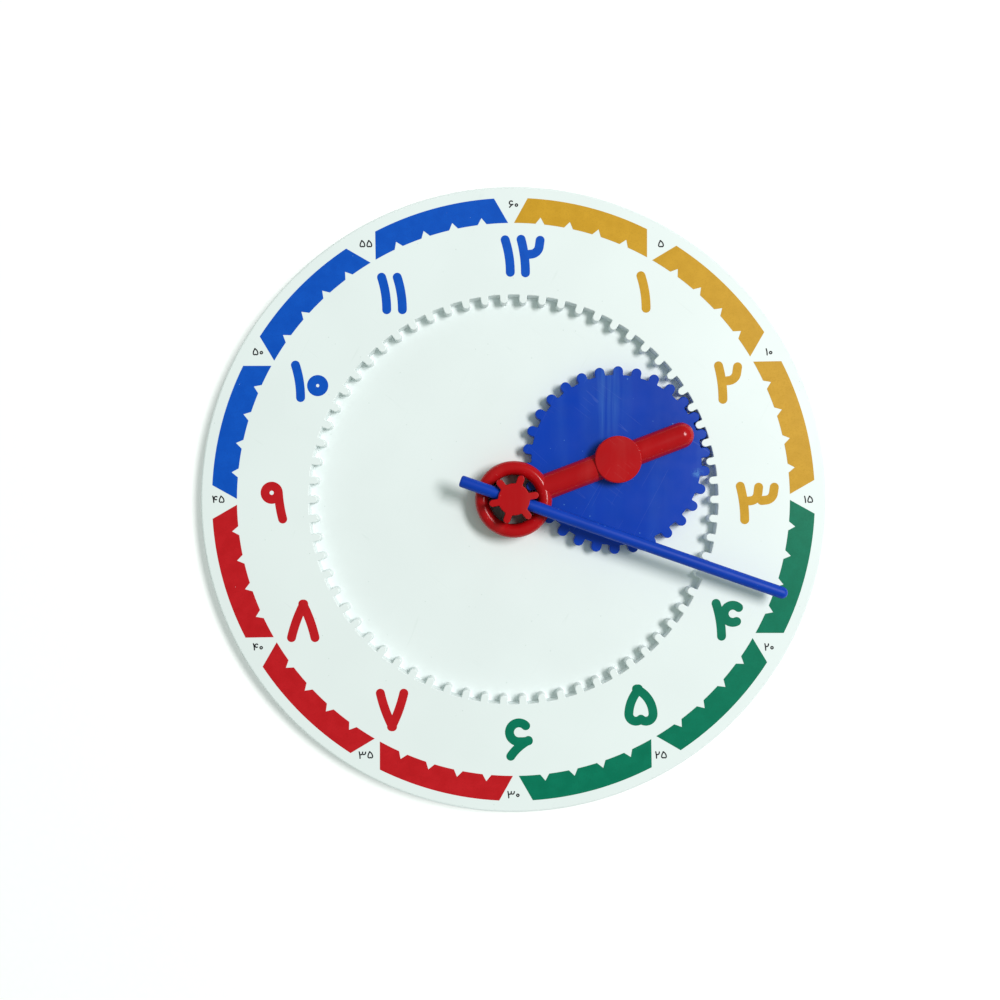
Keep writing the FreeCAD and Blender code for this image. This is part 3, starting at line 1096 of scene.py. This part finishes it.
@dataclass
class Dial:
    """White moulding: face plate, skirt, gear well with its ring of teeth, and the ribs behind."""

    setting: Setting
    radius: float = 128.0
    well_back: float = 2.4
    skirt_wall: float = 2.0
    plate_wall: float = 2.0
    ring_wall: float = 2.4
    rim_round: float = 0.9
    rim_steps: int = 4
    flats_per_tooth: int = 4
    rib_width: float = 1.5
    rib_lift: float = 0.6
    rib_step: float = 0.05
    rib_edge: float = 0.2
    rib_count: int = 12
    collar_radius: float = 7.0
    collar_wall: float = 1.5
    hole_radius: float = 3.55
    edge: float = 0.28
    teeth: Toothing = Toothing(83.7, 80.25, 3.15, RING_TEETH, gap_steps=2, phase=180 / RING_TEETH)

    def blank(self) -> bpy.types.Object:
        """Turn the moulding without its well and radial ribs.

        Returns:
            The blank.
        """
        face, back = self.setting.face, self.well_back
        under = face - self.plate_wall
        ring_back = self.teeth.root + self.ring_wall
        skirt_in = self.radius - self.skirt_wall
        rib_in = (ring_back + skirt_in - self.rib_width) / 2
        rib_out = rib_in + self.rib_width
        collar_out = self.collar_radius + self.collar_wall
        pen = Pen("dial_moulding", Plane.FRONT)
        pen.start((0.0, back))
        for inner, outer, start, low, end in (
            (self.collar_radius, collar_out, back, 0.0, back),
            (self.teeth.root, ring_back, back, 0.0, under),
            (rib_in, rib_out, under, self.rib_lift, under),
            (skirt_in, self.radius, under, 0.0, face - self.rim_round),
        ):
            pen.lines([(inner, start), (inner, low), (outer, low), (outer, end)])
        pen.swing((self.radius - self.rim_round, face - self.rim_round), 90.0, self.rim_steps)
        pen.line((0.0, face))
        moulding = pen.revolve(self.flats_per_tooth * self.teeth.count)
        bpy.ops.object.mode_set(mode="EDIT")
        for level, reach in ((face, self.radius), (back, self.collar_radius)):
            pick_faces(lambda middle, facing: abs(middle.z - level) < MERGE and middle.xy.length < reach)
            bpy.ops.mesh.dissolve_faces()
        tidy_mesh()
        return moulding

    def ribs(self, inner: float, outer: float, low: float, high: float) -> bpy.types.Object:
        """Model a star of radial ribs.

        Args:
            inner: Radius where they begin.
            outer: Radius where they end.
            low: Height of their lower edge.
            high: Height of their upper edge.

        Returns:
            The ribs as one solid for joining.
        """
        half = self.rib_width / 2
        pen = Pen("ribs", level=low)
        pen.start((inner, -half))
        pen.lines([(outer, -half), (outer, half), (inner, half), (inner, -half)])
        pen.fill()
        pen.repeat(self.rib_count)
        star = pen.raise_all(high - low)
        soften(star, self.rib_edge)
        return star

    def moulding(self) -> bpy.types.Object:
        """Model the whole moulding.

        Returns:
            The moulding.
        """
        face, back, floor = self.setting.face, self.well_back, self.setting.floor
        moulding = self.blank()
        well = Pen("well", level=floor)
        self.teeth.draw(well)
        join(moulding, well.raise_all(face), Joining.CUT)
        join(moulding, disc("hole", self.hole_radius, -OVERCUT, face), Joining.CUT)
        soften(moulding, self.edge)
        ring_back = self.teeth.root + self.ring_wall
        collar_out = self.collar_radius + self.collar_wall
        skirt_mid = self.radius - self.skirt_wall / 2
        rib_mid = (ring_back + self.radius - self.skirt_wall) / 2
        spans = (
            (collar_out - self.collar_wall / 2, ring_back - self.ring_wall / 2, (back + floor) / 2),
            (ring_back - self.ring_wall / 2, rib_mid, face - self.plate_wall / 2),
            (rib_mid, skirt_mid, face - self.plate_wall / 2),
        )
        for inner, outer, high in spans:
            join(moulding, self.ribs(inner, outer, self.rib_lift + self.rib_step, high), Joining.ADD)
        shade(moulding)
        return moulding

    def build(self) -> None:
        """Model and dress the dial."""
        hand_over(self.moulding(), WHITE_PLASTIC, "dial", "dial")


# --- The printing ---


@dataclass(frozen=True)
class Run:
    """A straight part of a stroke."""

    length: float


@dataclass(frozen=True)
class Bend:
    """A round part of a stroke; a positive turn goes to the left."""

    radius: float
    turn: float


@dataclass(frozen=True)
class Stroke:
    """One pass of a round-tipped brush: where it starts, where it heads and how it moves."""

    start: Point
    heading: float
    moves: tuple[Run | Bend, ...]
    end_steps: int = 12

    def draw(self, pen: Pen, width: float, centre: Point) -> None:
        """Draw the stroke's outline with round ends, and fill it.

        Args:
            pen: The pen that draws.
            width: The stroke's width.
            centre: Where the stroke's own origin goes.
        """
        half = width / 2
        spot = Vector((self.start[0] + centre[0], self.start[1] + centre[1]))
        first = spot.copy()
        heading = self.heading

        def aim(angle: float) -> Vector:
            """Give the direction at an angle."""
            return Vector((math.cos(math.radians(angle)), math.sin(math.radians(angle))))

        pen.start(tuple(spot + aim(heading + 90) * half))
        backwards: list[tuple[Vector, float] | Vector] = []
        for move in self.moves:
            if isinstance(move, Run):
                backwards.append(spot + aim(heading - 90) * half)
                spot = spot + aim(heading) * move.length
                pen.line(tuple(spot + aim(heading + 90) * half))
            else:
                side = 90 if move.turn > 0 else -90
                pivot = spot + aim(heading + side) * move.radius
                pen.swing(tuple(pivot), move.turn)
                backwards.append((pivot, -move.turn))
                heading += move.turn
                spot = pivot - aim(heading + side) * move.radius
        pen.swing(tuple(spot), -180.0, self.end_steps)
        for step in reversed(backwards):
            if isinstance(step, tuple):
                pen.swing(tuple(step[0]), step[1])
            else:
                pen.line(tuple(step))
        pen.swing(tuple(first), -180.0, self.end_steps)
        pen.fill()

    def scaled(self, share: float) -> "Stroke":
        """Give the same stroke at another size.

        Args:
            share: Its size as a share of this one's.

        Returns:
            The new stroke.
        """
        moves = tuple(
            Run(move.length * share) if isinstance(move, Run) else Bend(move.radius * share, move.turn)
            for move in self.moves
        )
        return replace(self, start=(self.start[0] * share, self.start[1] * share), moves=moves)


def shifted(strokes: Iterable[Stroke], across: float) -> tuple[Stroke, ...]:
    """Move strokes sideways within their numeral."""
    return tuple(replace(stroke, start=(stroke.start[0] + across, stroke.start[1])) for stroke in strokes)


ONE = (Stroke((-1.0, 6.7), -72.0, (Bend(43.0, -18.0),)),)
TWO = (
    Stroke((-4.1, 6.9), -75.0, (Bend(53.0, -15.0),)),
    Stroke((3.7, 6.5), -98.0, (Run(2.6), Bend(3.6, -75.0), Run(2.4))),
)
THREE = (
    Stroke((-7.3, 6.6), -75.0, (Bend(53.0, -15.0),)),
    Stroke((0.2, 6.2), -97.0, (Run(2.8), Bend(3.2, -78.0), Run(2.8))),
    Stroke((6.6, 6.2), -98.0, (Run(2.4), Bend(3.4, -76.0), Run(1.8))),
)
FOUR = (
    Stroke((-4.7, 7.0), -72.0, (Bend(46.0, -17.0),)),
    Stroke((4.5, 5.3), 137.0, (Bend(3.5, 250.0),)),
)
FIVE = (
    Stroke((-0.1, -5.4), 225.0, (Bend(2.9, -137.0), Bend(15.5, -30.0), Run(3.0))),
    Stroke((-0.1, -5.4), -45.0, (Bend(2.9, 137.0), Bend(11.5, 56.0), Run(1.6))),
)
SIX = (
    Stroke((3.0, 6.0), 134.0, (Bend(3.85, 226.0), Run(1.4), Bend(9.0, 16.0))),
    Stroke((4.1, 0.0), -152.0, (Bend(20.0, 28.0),)),
)
SEVEN = (
    Stroke((-4.7, 6.8), -77.0, (Bend(60.0, 14.0),)),
    Stroke((4.9, 6.8), -103.0, (Bend(60.0, -14.0),)),
)
EIGHT = (
    Stroke((-4.7, -6.8), 77.0, (Bend(60.0, -14.0),)),
    Stroke((4.9, -6.8), 103.0, (Bend(60.0, 14.0),)),
)
NINE = (
    Stroke((1.9, 4.0), 90.0, (Bend(2.7, 180.0),)),
    Stroke((-3.5, 4.0), -90.0, (Bend(2.7, 180.0),)),
    Stroke((1.9, 4.2), -86.0, (Bend(60.0, 10.6),)),
)
ZERO = (
    Stroke((2.5, -1.7), 90.0, (Bend(2.5, 180.0),)),
    Stroke((-2.5, -1.7), -90.0, (Bend(2.5, 180.0),)),
)
DIGITS = (ZERO, ONE, TWO, THREE, FOUR, FIVE, SIX, SEVEN, EIGHT, NINE)


@dataclass(frozen=True)
class Numeral:
    """An hour's numeral: its middle on the dial, its strokes and its ink."""

    hour: int
    middle: Point
    strokes: tuple[Stroke, ...]
    ink: InkColor


NUMERALS = (
    Numeral(1, (53.1, 84.7), ONE, InkColor.ORANGE),
    Numeral(2, (87.9, 47.7), TWO, InkColor.ORANGE),
    Numeral(3, (100.0, -1.2), THREE, InkColor.ORANGE),
    Numeral(4, (87.5, -49.5), FOUR, InkColor.GREEN),
    Numeral(5, (52.2, -84.4), FIVE, InkColor.GREEN),
    Numeral(6, (2.0, -98.5), SIX, InkColor.GREEN),
    Numeral(7, (-49.7, -86.0), SEVEN, InkColor.RED),
    Numeral(8, (-86.0, -49.7), EIGHT, InkColor.RED),
    Numeral(9, (-98.0, -1.3), NINE, InkColor.RED),
    Numeral(10, (-84.9, 48.2), shifted(ONE, -3.2) + shifted(ZERO, 4.9), InkColor.BLUE),
    Numeral(11, (-49.7, 84.1), shifted(ONE, -3.2) + shifted(ONE, 3.2), InkColor.BLUE),
    Numeral(12, (4.0, 99.4), shifted(ONE, -6.4) + shifted(TWO, 3.2), InkColor.BLUE),
)


@dataclass
class Printing:
    """Everything printed on the face: the minute band, the hours and the small minute numbers."""

    setting: Setting
    film: float = 0.05
    sink: float = 0.02
    band_in: float = 113.0
    band_out: float = 123.2
    band_turn: float = -0.5
    gap_in: float = 0.61
    gap_out: float = 3.2
    notch_half: float = 0.93
    notch_reach: float = 115.7
    minute_steps: int = 3
    outer_steps: int = 16
    stroke_width: float = 3.65
    label_radius: float = 120.6
    label_share: float = 0.19
    label_width: float = 0.5
    label_gap: float = 0.45

    def block(self, pen: Pen, start: float) -> None:
        """Draw the five minutes of an hour's step, with a notch at each minute between.

        Args:
            pen: The pen that draws.
            start: The clock angle where the five minutes begin.
        """
        reached, end = start + self.gap_in, start + HOUR
        pen.start(polar(self.band_in, reached))
        for count in range(1, round(HOUR / MINUTE)):
            notch = start + count * MINUTE
            pen.swing((0.0, 0.0), reached - (notch - self.notch_half), self.minute_steps)
            pen.line(polar(self.notch_reach, notch))
            pen.line(polar(self.band_in, notch + self.notch_half))
            reached = notch + self.notch_half
        pen.swing((0.0, 0.0), reached - (end - self.gap_in), self.minute_steps)
        pen.line(polar(self.band_out, end - self.gap_out))
        pen.swing((0.0, 0.0), HOUR - 2 * self.gap_out, self.outer_steps)
        pen.line(polar(self.band_in, start + self.gap_in))
        pen.fill()

    def band(self, first_hour: int, ink: InkColor) -> None:
        """Print a quarter of the minute band.

        Args:
            first_hour: The hour where the quarter begins.
            ink: Its ink.
        """
        pen = Pen(f"minute_band_{ink.name.lower()}", level=self.setting.face - self.sink)
        for hour in range(first_hour, first_hour + HOURS // 4):
            self.block(pen, hour * HOUR + self.band_turn)
        self.print(pen.raise_all(self.sink + self.film), ink)

    def glyph(
        self, name: str, strokes: Iterable[Stroke], width: float, middle: Point
    ) -> bpy.types.Object:
        """Model strokes as one film.

        Args:
            name: The film's name.
            strokes: The strokes.
            width: Their width.
            middle: Where their own origin goes.

        Returns:
            The film.
        """
        solids = []
        for stroke in strokes:
            pen = Pen(name, level=self.setting.face - self.sink)
            stroke.draw(pen, width, middle)
            solids.append(pen.raise_all(self.sink + self.film))
        for extra in solids[1:]:
            join(solids[0], extra, Joining.ADD)
        solids[0].name = name
        return solids[0]

    def numeral(self, numeral: Numeral) -> None:
        """Print an hour's numeral.

        Args:
            numeral: The numeral.
        """
        name = f"hour_{numeral.hour}"
        self.print(self.glyph(name, numeral.strokes, self.stroke_width, numeral.middle), numeral.ink)

    def minute_numbers(self) -> None:
        """Print the small upright numbers in the gaps of the minute band."""
        digits = []
        for hour in range(1, HOURS + 1):
            across, up = polar(self.label_radius, hour * HOUR)
            reach = 0.0
            number = []
            for figure in str(round(hour * HOUR / MINUTE)):
                strokes = [stroke.scaled(self.label_share) for stroke in DIGITS[int(figure)]]
                digit = self.glyph("minute_numbers", strokes, self.label_width, (0.0, up))
                places = [vertex.co.x for vertex in digit.data.vertices]
                digit.location.x = reach - min(places)
                reach += max(places) - min(places) + self.label_gap
                number.append(digit)
            for digit in number:
                digit.location.x += across - (reach - self.label_gap) / 2
            digits += number
        take(digits[0])
        for digit in digits:
            digit.select_set(True)
        bpy.ops.object.transform_apply(location=True, rotation=True, scale=True)
        bpy.ops.object.join()
        digits[0].name = "minute_numbers"
        self.print(digits[0], InkColor.BLACK)

    def print(self, film: bpy.types.Object, ink: InkColor) -> None:
        """Dress a film of ink and fix it to the dial.

        Args:
            film: The film.
            ink: Its ink.
        """
        hand_over(film, PrintedInk(f"{ink.name.lower()}_ink", ink.value), "dial")

    def build(self) -> None:
        """Print the whole face."""
        for quarter, ink in enumerate((InkColor.ORANGE, InkColor.GREEN, InkColor.RED, InkColor.BLUE)):
            self.band(quarter * HOURS // 4, ink)
        for numeral in NUMERALS:
            self.numeral(numeral)
        self.minute_numbers()


# --- The gear train ---


@dataclass
class PlanetGear:
    """Blue gear with round-ended teeth, hollow and ribbed below."""

    setting: Setting
    bore: float = 4.05
    hub_wall: float = 2.0
    rim_wall: float = 2.2
    face_wall: float = 1.8
    rib_width: float = 1.4
    rib_count: int = 10
    rib_lift: float = 0.2
    pocket_steps: tuple[int, int] = (4, 6)
    edge: float = 0.35
    teeth: Toothing = Toothing(34.8, 38.4, 4.104, PLANET_TEETH, gap_steps=4)

    def hollow(self) -> Point:
        """Give the inner and outer radius of the hollow below."""
        return (self.bore + self.hub_wall, self.teeth.root - self.rim_wall)

    def pocket(self) -> bpy.types.Object:
        """Model the hollow between the ribs.

        Returns:
            The pockets as one tool for cutting.
        """
        low, high = self.setting.floor, self.setting.gear_top - self.face_wall
        inner, outer = self.hollow()
        inner_edge, outer_edge = (
            math.degrees(math.asin(self.rib_width / 2 / radius)) for radius in (inner, outer)
        )
        inner_steps, outer_steps = self.pocket_steps
        span = 360 / self.rib_count
        pen = Pen("pockets", level=low + self.rib_lift)
        pen.start(polar(inner, inner_edge))
        pen.swing((0.0, 0.0), -(span - 2 * inner_edge), inner_steps)
        pen.line(polar(outer, span - outer_edge))
        pen.swing((0.0, 0.0), span - 2 * outer_edge, outer_steps)
        pen.line(polar(inner, inner_edge))
        pen.fill()
        pen.repeat(self.rib_count)
        return pen.raise_all(high - low - self.rib_lift)

    def clearance(self) -> bpy.types.Object:
        """Model the thin ring of air between the ribs and the floor of the well.

        Returns:
            The ring as a tool for cutting.
        """
        inner, outer = self.hollow()
        low, top = self.setting.floor - OVERCUT, self.setting.floor + self.rib_lift
        pen = Pen("clearance", Plane.FRONT)
        pen.start((inner, low))
        pen.lines([(outer, low), (outer, top), (inner, top), (inner, low)])
        return pen.revolve()

    def build(self) -> None:
        """Model and dress the gear."""
        low, high = self.setting.floor, self.setting.gear_top
        pen = Pen("planet_wheel", level=low)
        self.teeth.draw(pen)
        gear = pen.raise_all(high - low)
        join(gear, disc("bore", self.bore, low - OVERCUT, high + OVERCUT), Joining.CUT)
        soften(gear, self.edge)
        join(gear, self.pocket(), Joining.CUT)
        join(gear, self.clearance(), Joining.CUT)
        shade(gear)
        turn = self.setting.hour_turn * (1 - RING_TEETH / PLANET_TEETH)
        turn_about(gear, turn, self.setting.gear_centre)
        hand_over(gear, BLUE_PLASTIC, "planet", "planet_gear")


@dataclass
class HourHand:
    """Red hour arm: hub ring with a round crest, half-round bar, boss with its pin, and rounded pointer."""

    setting: Setting
    hub_radius: float = 15.6
    hub_bore: float = 9.95
    window_radius: float = 38.9
    bar_radius: float = 5.35
    reach: float = 78.3
    foot_edge: float = 0.3
    crest_steps: int = 24
    hub_steps: int = 128
    end_steps: int = 64
    slip: float = 0.2
    boss_radius: float = 9.5
    boss_edge: float = 0.5
    pin_radius: float = 4.0
    pin_edge: float = 0.5

    def under(self) -> float:
        """Give the height of the bar's flat underside."""
        return self.setting.gear_top + self.slip

    def hub(self) -> bpy.types.Object:
        """Model the ring round the pinion, with its window for the gear.

        Returns:
            The ring.
        """
        foot, under = self.setting.arm_foot, self.under()
        crown = (self.hub_radius - self.hub_bore) / 2
        shoulder = under + self.bar_radius - crown
        pen = Pen("hub", Plane.FRONT)
        pen.start((self.hub_bore + self.foot_edge, foot))
        pen.line((self.hub_radius - self.foot_edge, foot))
        pen.line((self.hub_radius, foot + self.foot_edge))
        pen.line((self.hub_radius, shoulder))
        pen.swing((self.hub_bore + crown, shoulder), 180.0, self.crest_steps)
        pen.line((self.hub_bore, foot + self.foot_edge))
        pen.line((self.hub_bore + self.foot_edge, foot))
        hub = pen.revolve(self.hub_steps)
        window = disc("window", self.window_radius, foot - OVERCUT, under, (0.0, self.setting.gear_distance))
        join(hub, window, Joining.CUT)
        return hub

    def bar(self) -> bpy.types.Object:
        """Model the half-round bar with its rounded end.

        Returns:
            The bar.
        """
        under = self.under()
        end = self.reach - self.bar_radius
        start = (self.hub_radius + self.hub_bore) / 2
        clear_bench()
        bpy.ops.mesh.primitive_uv_sphere_add(
            segments=self.end_steps,
            ring_count=self.end_steps // 2,
            radius=self.bar_radius,
            location=(0.0, end, under),
        )
        bar = bpy.context.object
        bar.name = "bar"
        bpy.ops.object.transform_apply(location=True, rotation=True, scale=True)
        bpy.ops.object.mode_set(mode="EDIT")
        for normal in ((0, 0, 1), (0, 1, 0)):
            bpy.ops.mesh.select_all(action="SELECT")
            bpy.ops.mesh.bisect(
                plane_co=(0.0, end, under), plane_no=normal, clear_inner=True, use_fill=True
            )
        pick_faces(lambda middle, facing: middle.y < end + MERGE and abs(facing.y) > SQUARE)
        bpy.ops.mesh.extrude_region_move(TRANSFORM_OT_translate={"value": (0.0, start - end, 0.0)})
        tidy_mesh()
        return bar

    def build(self) -> None:
        """Model and dress the arm."""
        foot, top, under = self.setting.arm_foot, self.setting.boss_top, self.under()
        centre = (0.0, self.setting.gear_distance)
        boss = disc("boss", self.boss_radius, under, top, centre)
        soften(boss, self.boss_edge, segments=3)
        pin = disc("pin", self.pin_radius, foot, under + self.bar_radius / 2, centre)
        soften(pin, self.pin_edge)
        arm = self.hub()
        for part in (self.bar(), boss, pin):
            join(arm, part, Joining.ADD)
        arm.name = "hour_hand"
        shade(arm)
        turn_about(arm, self.setting.hour_turn)
        hand_over(arm, RED_PLASTIC, "arm", "hour_arm")


@dataclass
class MinuteHand:
    """The red pinion, and the blue rod through it that serves as the minute hand."""

    setting: Setting
    spigot_radius: float = 3.5
    spigot_edge: float = 0.25
    spigot_overlap: float = 1.8
    pilot_radius: float = 1.45
    pilot_depth: float = 11.0
    running: float = 0.05
    reach: float = 115.0
    tail: float = 22.5
    tail_round: float = 0.9
    tip_steps: int = 12
    tail_steps: int = 6
    rod_steps: int = 64
    edge: float = 0.35
    teeth: Toothing = Toothing(6.3, 9.9, 2.8, SUN_TEETH, gap_steps=3, phase=180 / SUN_TEETH)

    def turn(self) -> float:
        """Give the minute hand's clockwise angle."""
        return self.setting.hour_turn * (1 + RING_TEETH / SUN_TEETH)

    def pinion(self) -> None:
        """Model and dress the pinion."""
        setting = self.setting
        pen = Pen("sun_wheel", level=setting.floor)
        self.teeth.draw(pen)
        pinion = pen.raise_all(setting.pinion_top - setting.floor)
        soften(pinion, self.edge)
        low = setting.pinion_low
        spigot = disc("spigot", self.spigot_radius, low, setting.floor + self.spigot_overlap)
        soften(spigot, self.spigot_edge)
        join(pinion, spigot, Joining.ADD)
        pilot = disc("pilot", self.pilot_radius, low - OVERCUT, low + self.pilot_depth)
        join(pinion, pilot, Joining.CUT)
        half = self.teeth.tip + OVERCUT
        pen = Pen("cross_hole", Plane.FRONT, level=-half)
        pen.start((setting.rod_radius + self.running, setting.rod_axis))
        pen.swing((0.0, setting.rod_axis), 360.0, self.rod_steps)
        pen.fill()
        join(pinion, pen.raise_all(2 * half), Joining.CUT)
        shade(pinion)
        turn_about(pinion, self.turn())
        hand_over(pinion, RED_PLASTIC, "minute", "sun_pinion")

    def rod(self) -> None:
        """Model and dress the rod."""
        radius, axis = self.setting.rod_radius, self.setting.rod_axis
        pen = Pen("minute_hand", Plane.SIDE)
        pen.start((self.reach, axis))
        pen.swing((self.reach - radius, axis), 90.0, self.tip_steps)
        pen.line((self.tail_round - self.tail, axis + radius))
        pen.swing((self.tail_round - self.tail, axis + radius - self.tail_round), 90.0, self.tail_steps)
        pen.line((-self.tail, axis))
        rod = pen.revolve(self.rod_steps, Vector((0, 1, 0)), (0.0, axis))
        shade(rod)
        turn_about(rod, self.turn())
        hand_over(rod, ROD_PLASTIC, "minute", "minute_rod")

    def build(self) -> None:
        """Model and dress the hand's pieces."""
        self.pinion()
        self.rod()


@dataclass
class Fasteners:
    """The steel screw and washer that hold the pinion from behind."""

    setting: Setting
    shank_radius: float = 1.4
    head_radius: float = 3.3
    head_height: float = 1.6
    washer_radius: float = 4.6
    washer_bore: float = 1.5
    washer_thickness: float = 0.5
    washer_edge: float = 0.08
    recess_length: float = 3.6
    recess_width: float = 0.9
    recess_depth: float = 0.9
    recess_taper: Point = (0.55, 0.7)
    recess_start: float = 0.01
    head_round: float = 1.0
    head_steps: int = 6
    shank_length: float = 11.0
    round_steps: int = 64

    def recess(self, turn: float, low: float) -> bpy.types.Object:
        """Model one wing of the cross recess, tapered towards its bottom.

        Args:
            turn: The wing's direction, in degrees.
            low: Height of the head's underside.

        Returns:
            The wing as a tool for cutting.
        """
        across, up = self.recess_length / 2, self.recess_width / 2
        pen = Pen("recess", level=low - self.recess_start)
        pen.start((-across, -up))
        pen.lines([(across, -up), (across, up), (-across, up), (-across, -up)])
        pen.fill()
        wing = pen.raise_all(self.recess_depth)
        bpy.ops.object.mode_set(mode="EDIT")
        pick_faces(lambda middle, facing: facing.z > SQUARE)
        bpy.ops.transform.resize(value=(*self.recess_taper, 1.0))
        tidy_mesh()
        turn_about(wing, turn)
        return wing

    def screw(self) -> None:
        """Model and dress the screw."""
        washer_low = self.setting.pinion_low - self.washer_thickness
        low = washer_low - self.head_height
        flat = self.head_radius - self.head_round
        shank_end = self.setting.pinion_low + self.shank_length
        pen = Pen("pan_head_screw", Plane.FRONT)
        pen.start((0.0, low))
        pen.line((flat, low))
        pen.swing((flat, low + self.head_round), 90.0, self.head_steps)
        pen.lines([(self.head_radius, washer_low), (self.shank_radius, washer_low)])
        pen.line((self.shank_radius, shank_end - 2 * self.shank_radius))
        pen.line((0.0, shank_end - self.shank_radius))
        screw = pen.revolve(self.round_steps)
        for turn in (0.0, 90.0):
            join(screw, self.recess(turn, low), Joining.CUT)
        shade(screw)
        hand_over(screw, STEEL, "minute", "center_screw")

    def washer(self) -> None:
        """Model and dress the washer."""
        high = self.setting.pinion_low
        low = high - self.washer_thickness
        pen = Pen("flat_washer", Plane.FRONT)
        pen.start((self.washer_bore, low))
        pen.lines([(self.washer_radius, low), (self.washer_radius, high), (self.washer_bore, high)])
        pen.line((self.washer_bore, low))
        washer = pen.revolve(self.round_steps)
        soften(washer, self.washer_edge)
        shade(washer)
        hand_over(washer, STEEL, "minute", "washer")

    def build(self) -> None:
        """Model and dress the screw and washer."""
        self.screw()
        self.washer()


# --- The studio ---


@dataclass
class Studio:
    """Floor, soft light and camera; the camera's own sizes are in millimetres, the others in metres.

    The key and sky shares are how bright a level white surface looks under each alone.
    """

    camera_place: tuple[float, float, float] = (-5.5, -0.25, 359.2)
    lens: float = 30.83
    sensor: float = 36.0
    nearest: float = 0.01
    key_azimuth: float = 20.0
    key_elevation: float = 57.0
    key_distance: float = 2.6
    key_length: float = 1.25
    key_width: float = 0.6
    key_share: float = 0.65
    key_tint: tuple[float, float, float] = (1.0, 0.99, 0.985)
    sky_share: float = 0.385
    sky_in_gloss: float = 0.16
    sky_tint: tuple[float, float, float, float] = (0.82, 0.99, 0.9, 1.0)
    floor_size: float = 8.0

    def camera(self) -> None:
        """Set the camera straight above the face."""
        bpy.ops.object.camera_add(location=Vector(self.camera_place) * MM, rotation=(0, 0, 0))
        camera = bpy.context.object
        camera.name = "studio_camera"
        camera.data.lens = self.lens
        camera.data.sensor_width = self.sensor
        camera.data.clip_start = self.nearest
        bpy.context.scene.camera = camera

    def key_light(self) -> None:
        """Hang one long soft light on the right of the face."""
        azimuth, elevation = math.radians(self.key_azimuth), math.radians(self.key_elevation)
        level = Vector((math.cos(azimuth), math.sin(azimuth), 0.0)) * math.cos(elevation)
        toward = level + Vector((0.0, 0.0, math.sin(elevation)))
        bpy.ops.object.light_add(type="AREA", location=toward * self.key_distance)
        light = bpy.context.object
        light.name = "key_light"
        light.rotation_euler = toward.to_track_quat("Z", "Y").to_euler()
        light.data.shape = "ELLIPSE"
        light.data.size = self.key_length
        light.data.size_y = self.key_width
        light.data.energy = self.key_share * math.pi**2 * self.key_distance**2 / math.sin(elevation)
        light.data.color = self.key_tint

    def sky(self) -> None:
        """Surround the clock with even pale light, white where the camera sees it."""
        world = bpy.data.worlds.new("studio_sky")
        world.use_nodes = True
        bpy.context.scene.world = world
        board = Board(world.node_tree)
        rays = board.add("ShaderNodeLightPath")
        seen = Signal(board, rays.outputs["Is Camera Ray"])
        gloss = Signal(board, rays.outputs["Is Glossy Ray"])
        strength = seen + (1 - seen) * self.sky_share + gloss * (self.sky_in_gloss - self.sky_share)
        color = board.blend(seen, self.sky_tint, WHITE.linear())
        sky = board.add("ShaderNodeBackground", None, {"Color": color, "Strength": strength})
        board.add("ShaderNodeOutputWorld", None, {"Surface": sky.outputs[0]})

    def floor(self) -> None:
        """Lay the paper that the clock lies on."""
        clear_bench()
        bpy.ops.mesh.primitive_plane_add(size=self.floor_size)
        paper = bpy.context.object
        paper.name = "studio_floor"
        paper.data.materials.append(FLOOR_PAPER.material())

    def build(self) -> None:
        """Set up the whole studio."""
        clear_bench()
        self.camera()
        self.key_light()
        self.sky()
        self.floor()
        bpy.context.scene.view_settings.view_transform = "Standard"


def main() -> None:
    """Build the clock round its frame."""
    logging.basicConfig(level=logging.INFO, format="%(message)s")
    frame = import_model()
    setting = Setting.read(frame)
    LOG.info("hour hand at %.2f degrees", setting.hour_turn)
    Studio().build()
    for part in (Dial, Printing, PlanetGear, HourHand, MinuteHand, Fasteners):
        part(setting).build()


if __name__ == "__main__":
    main()
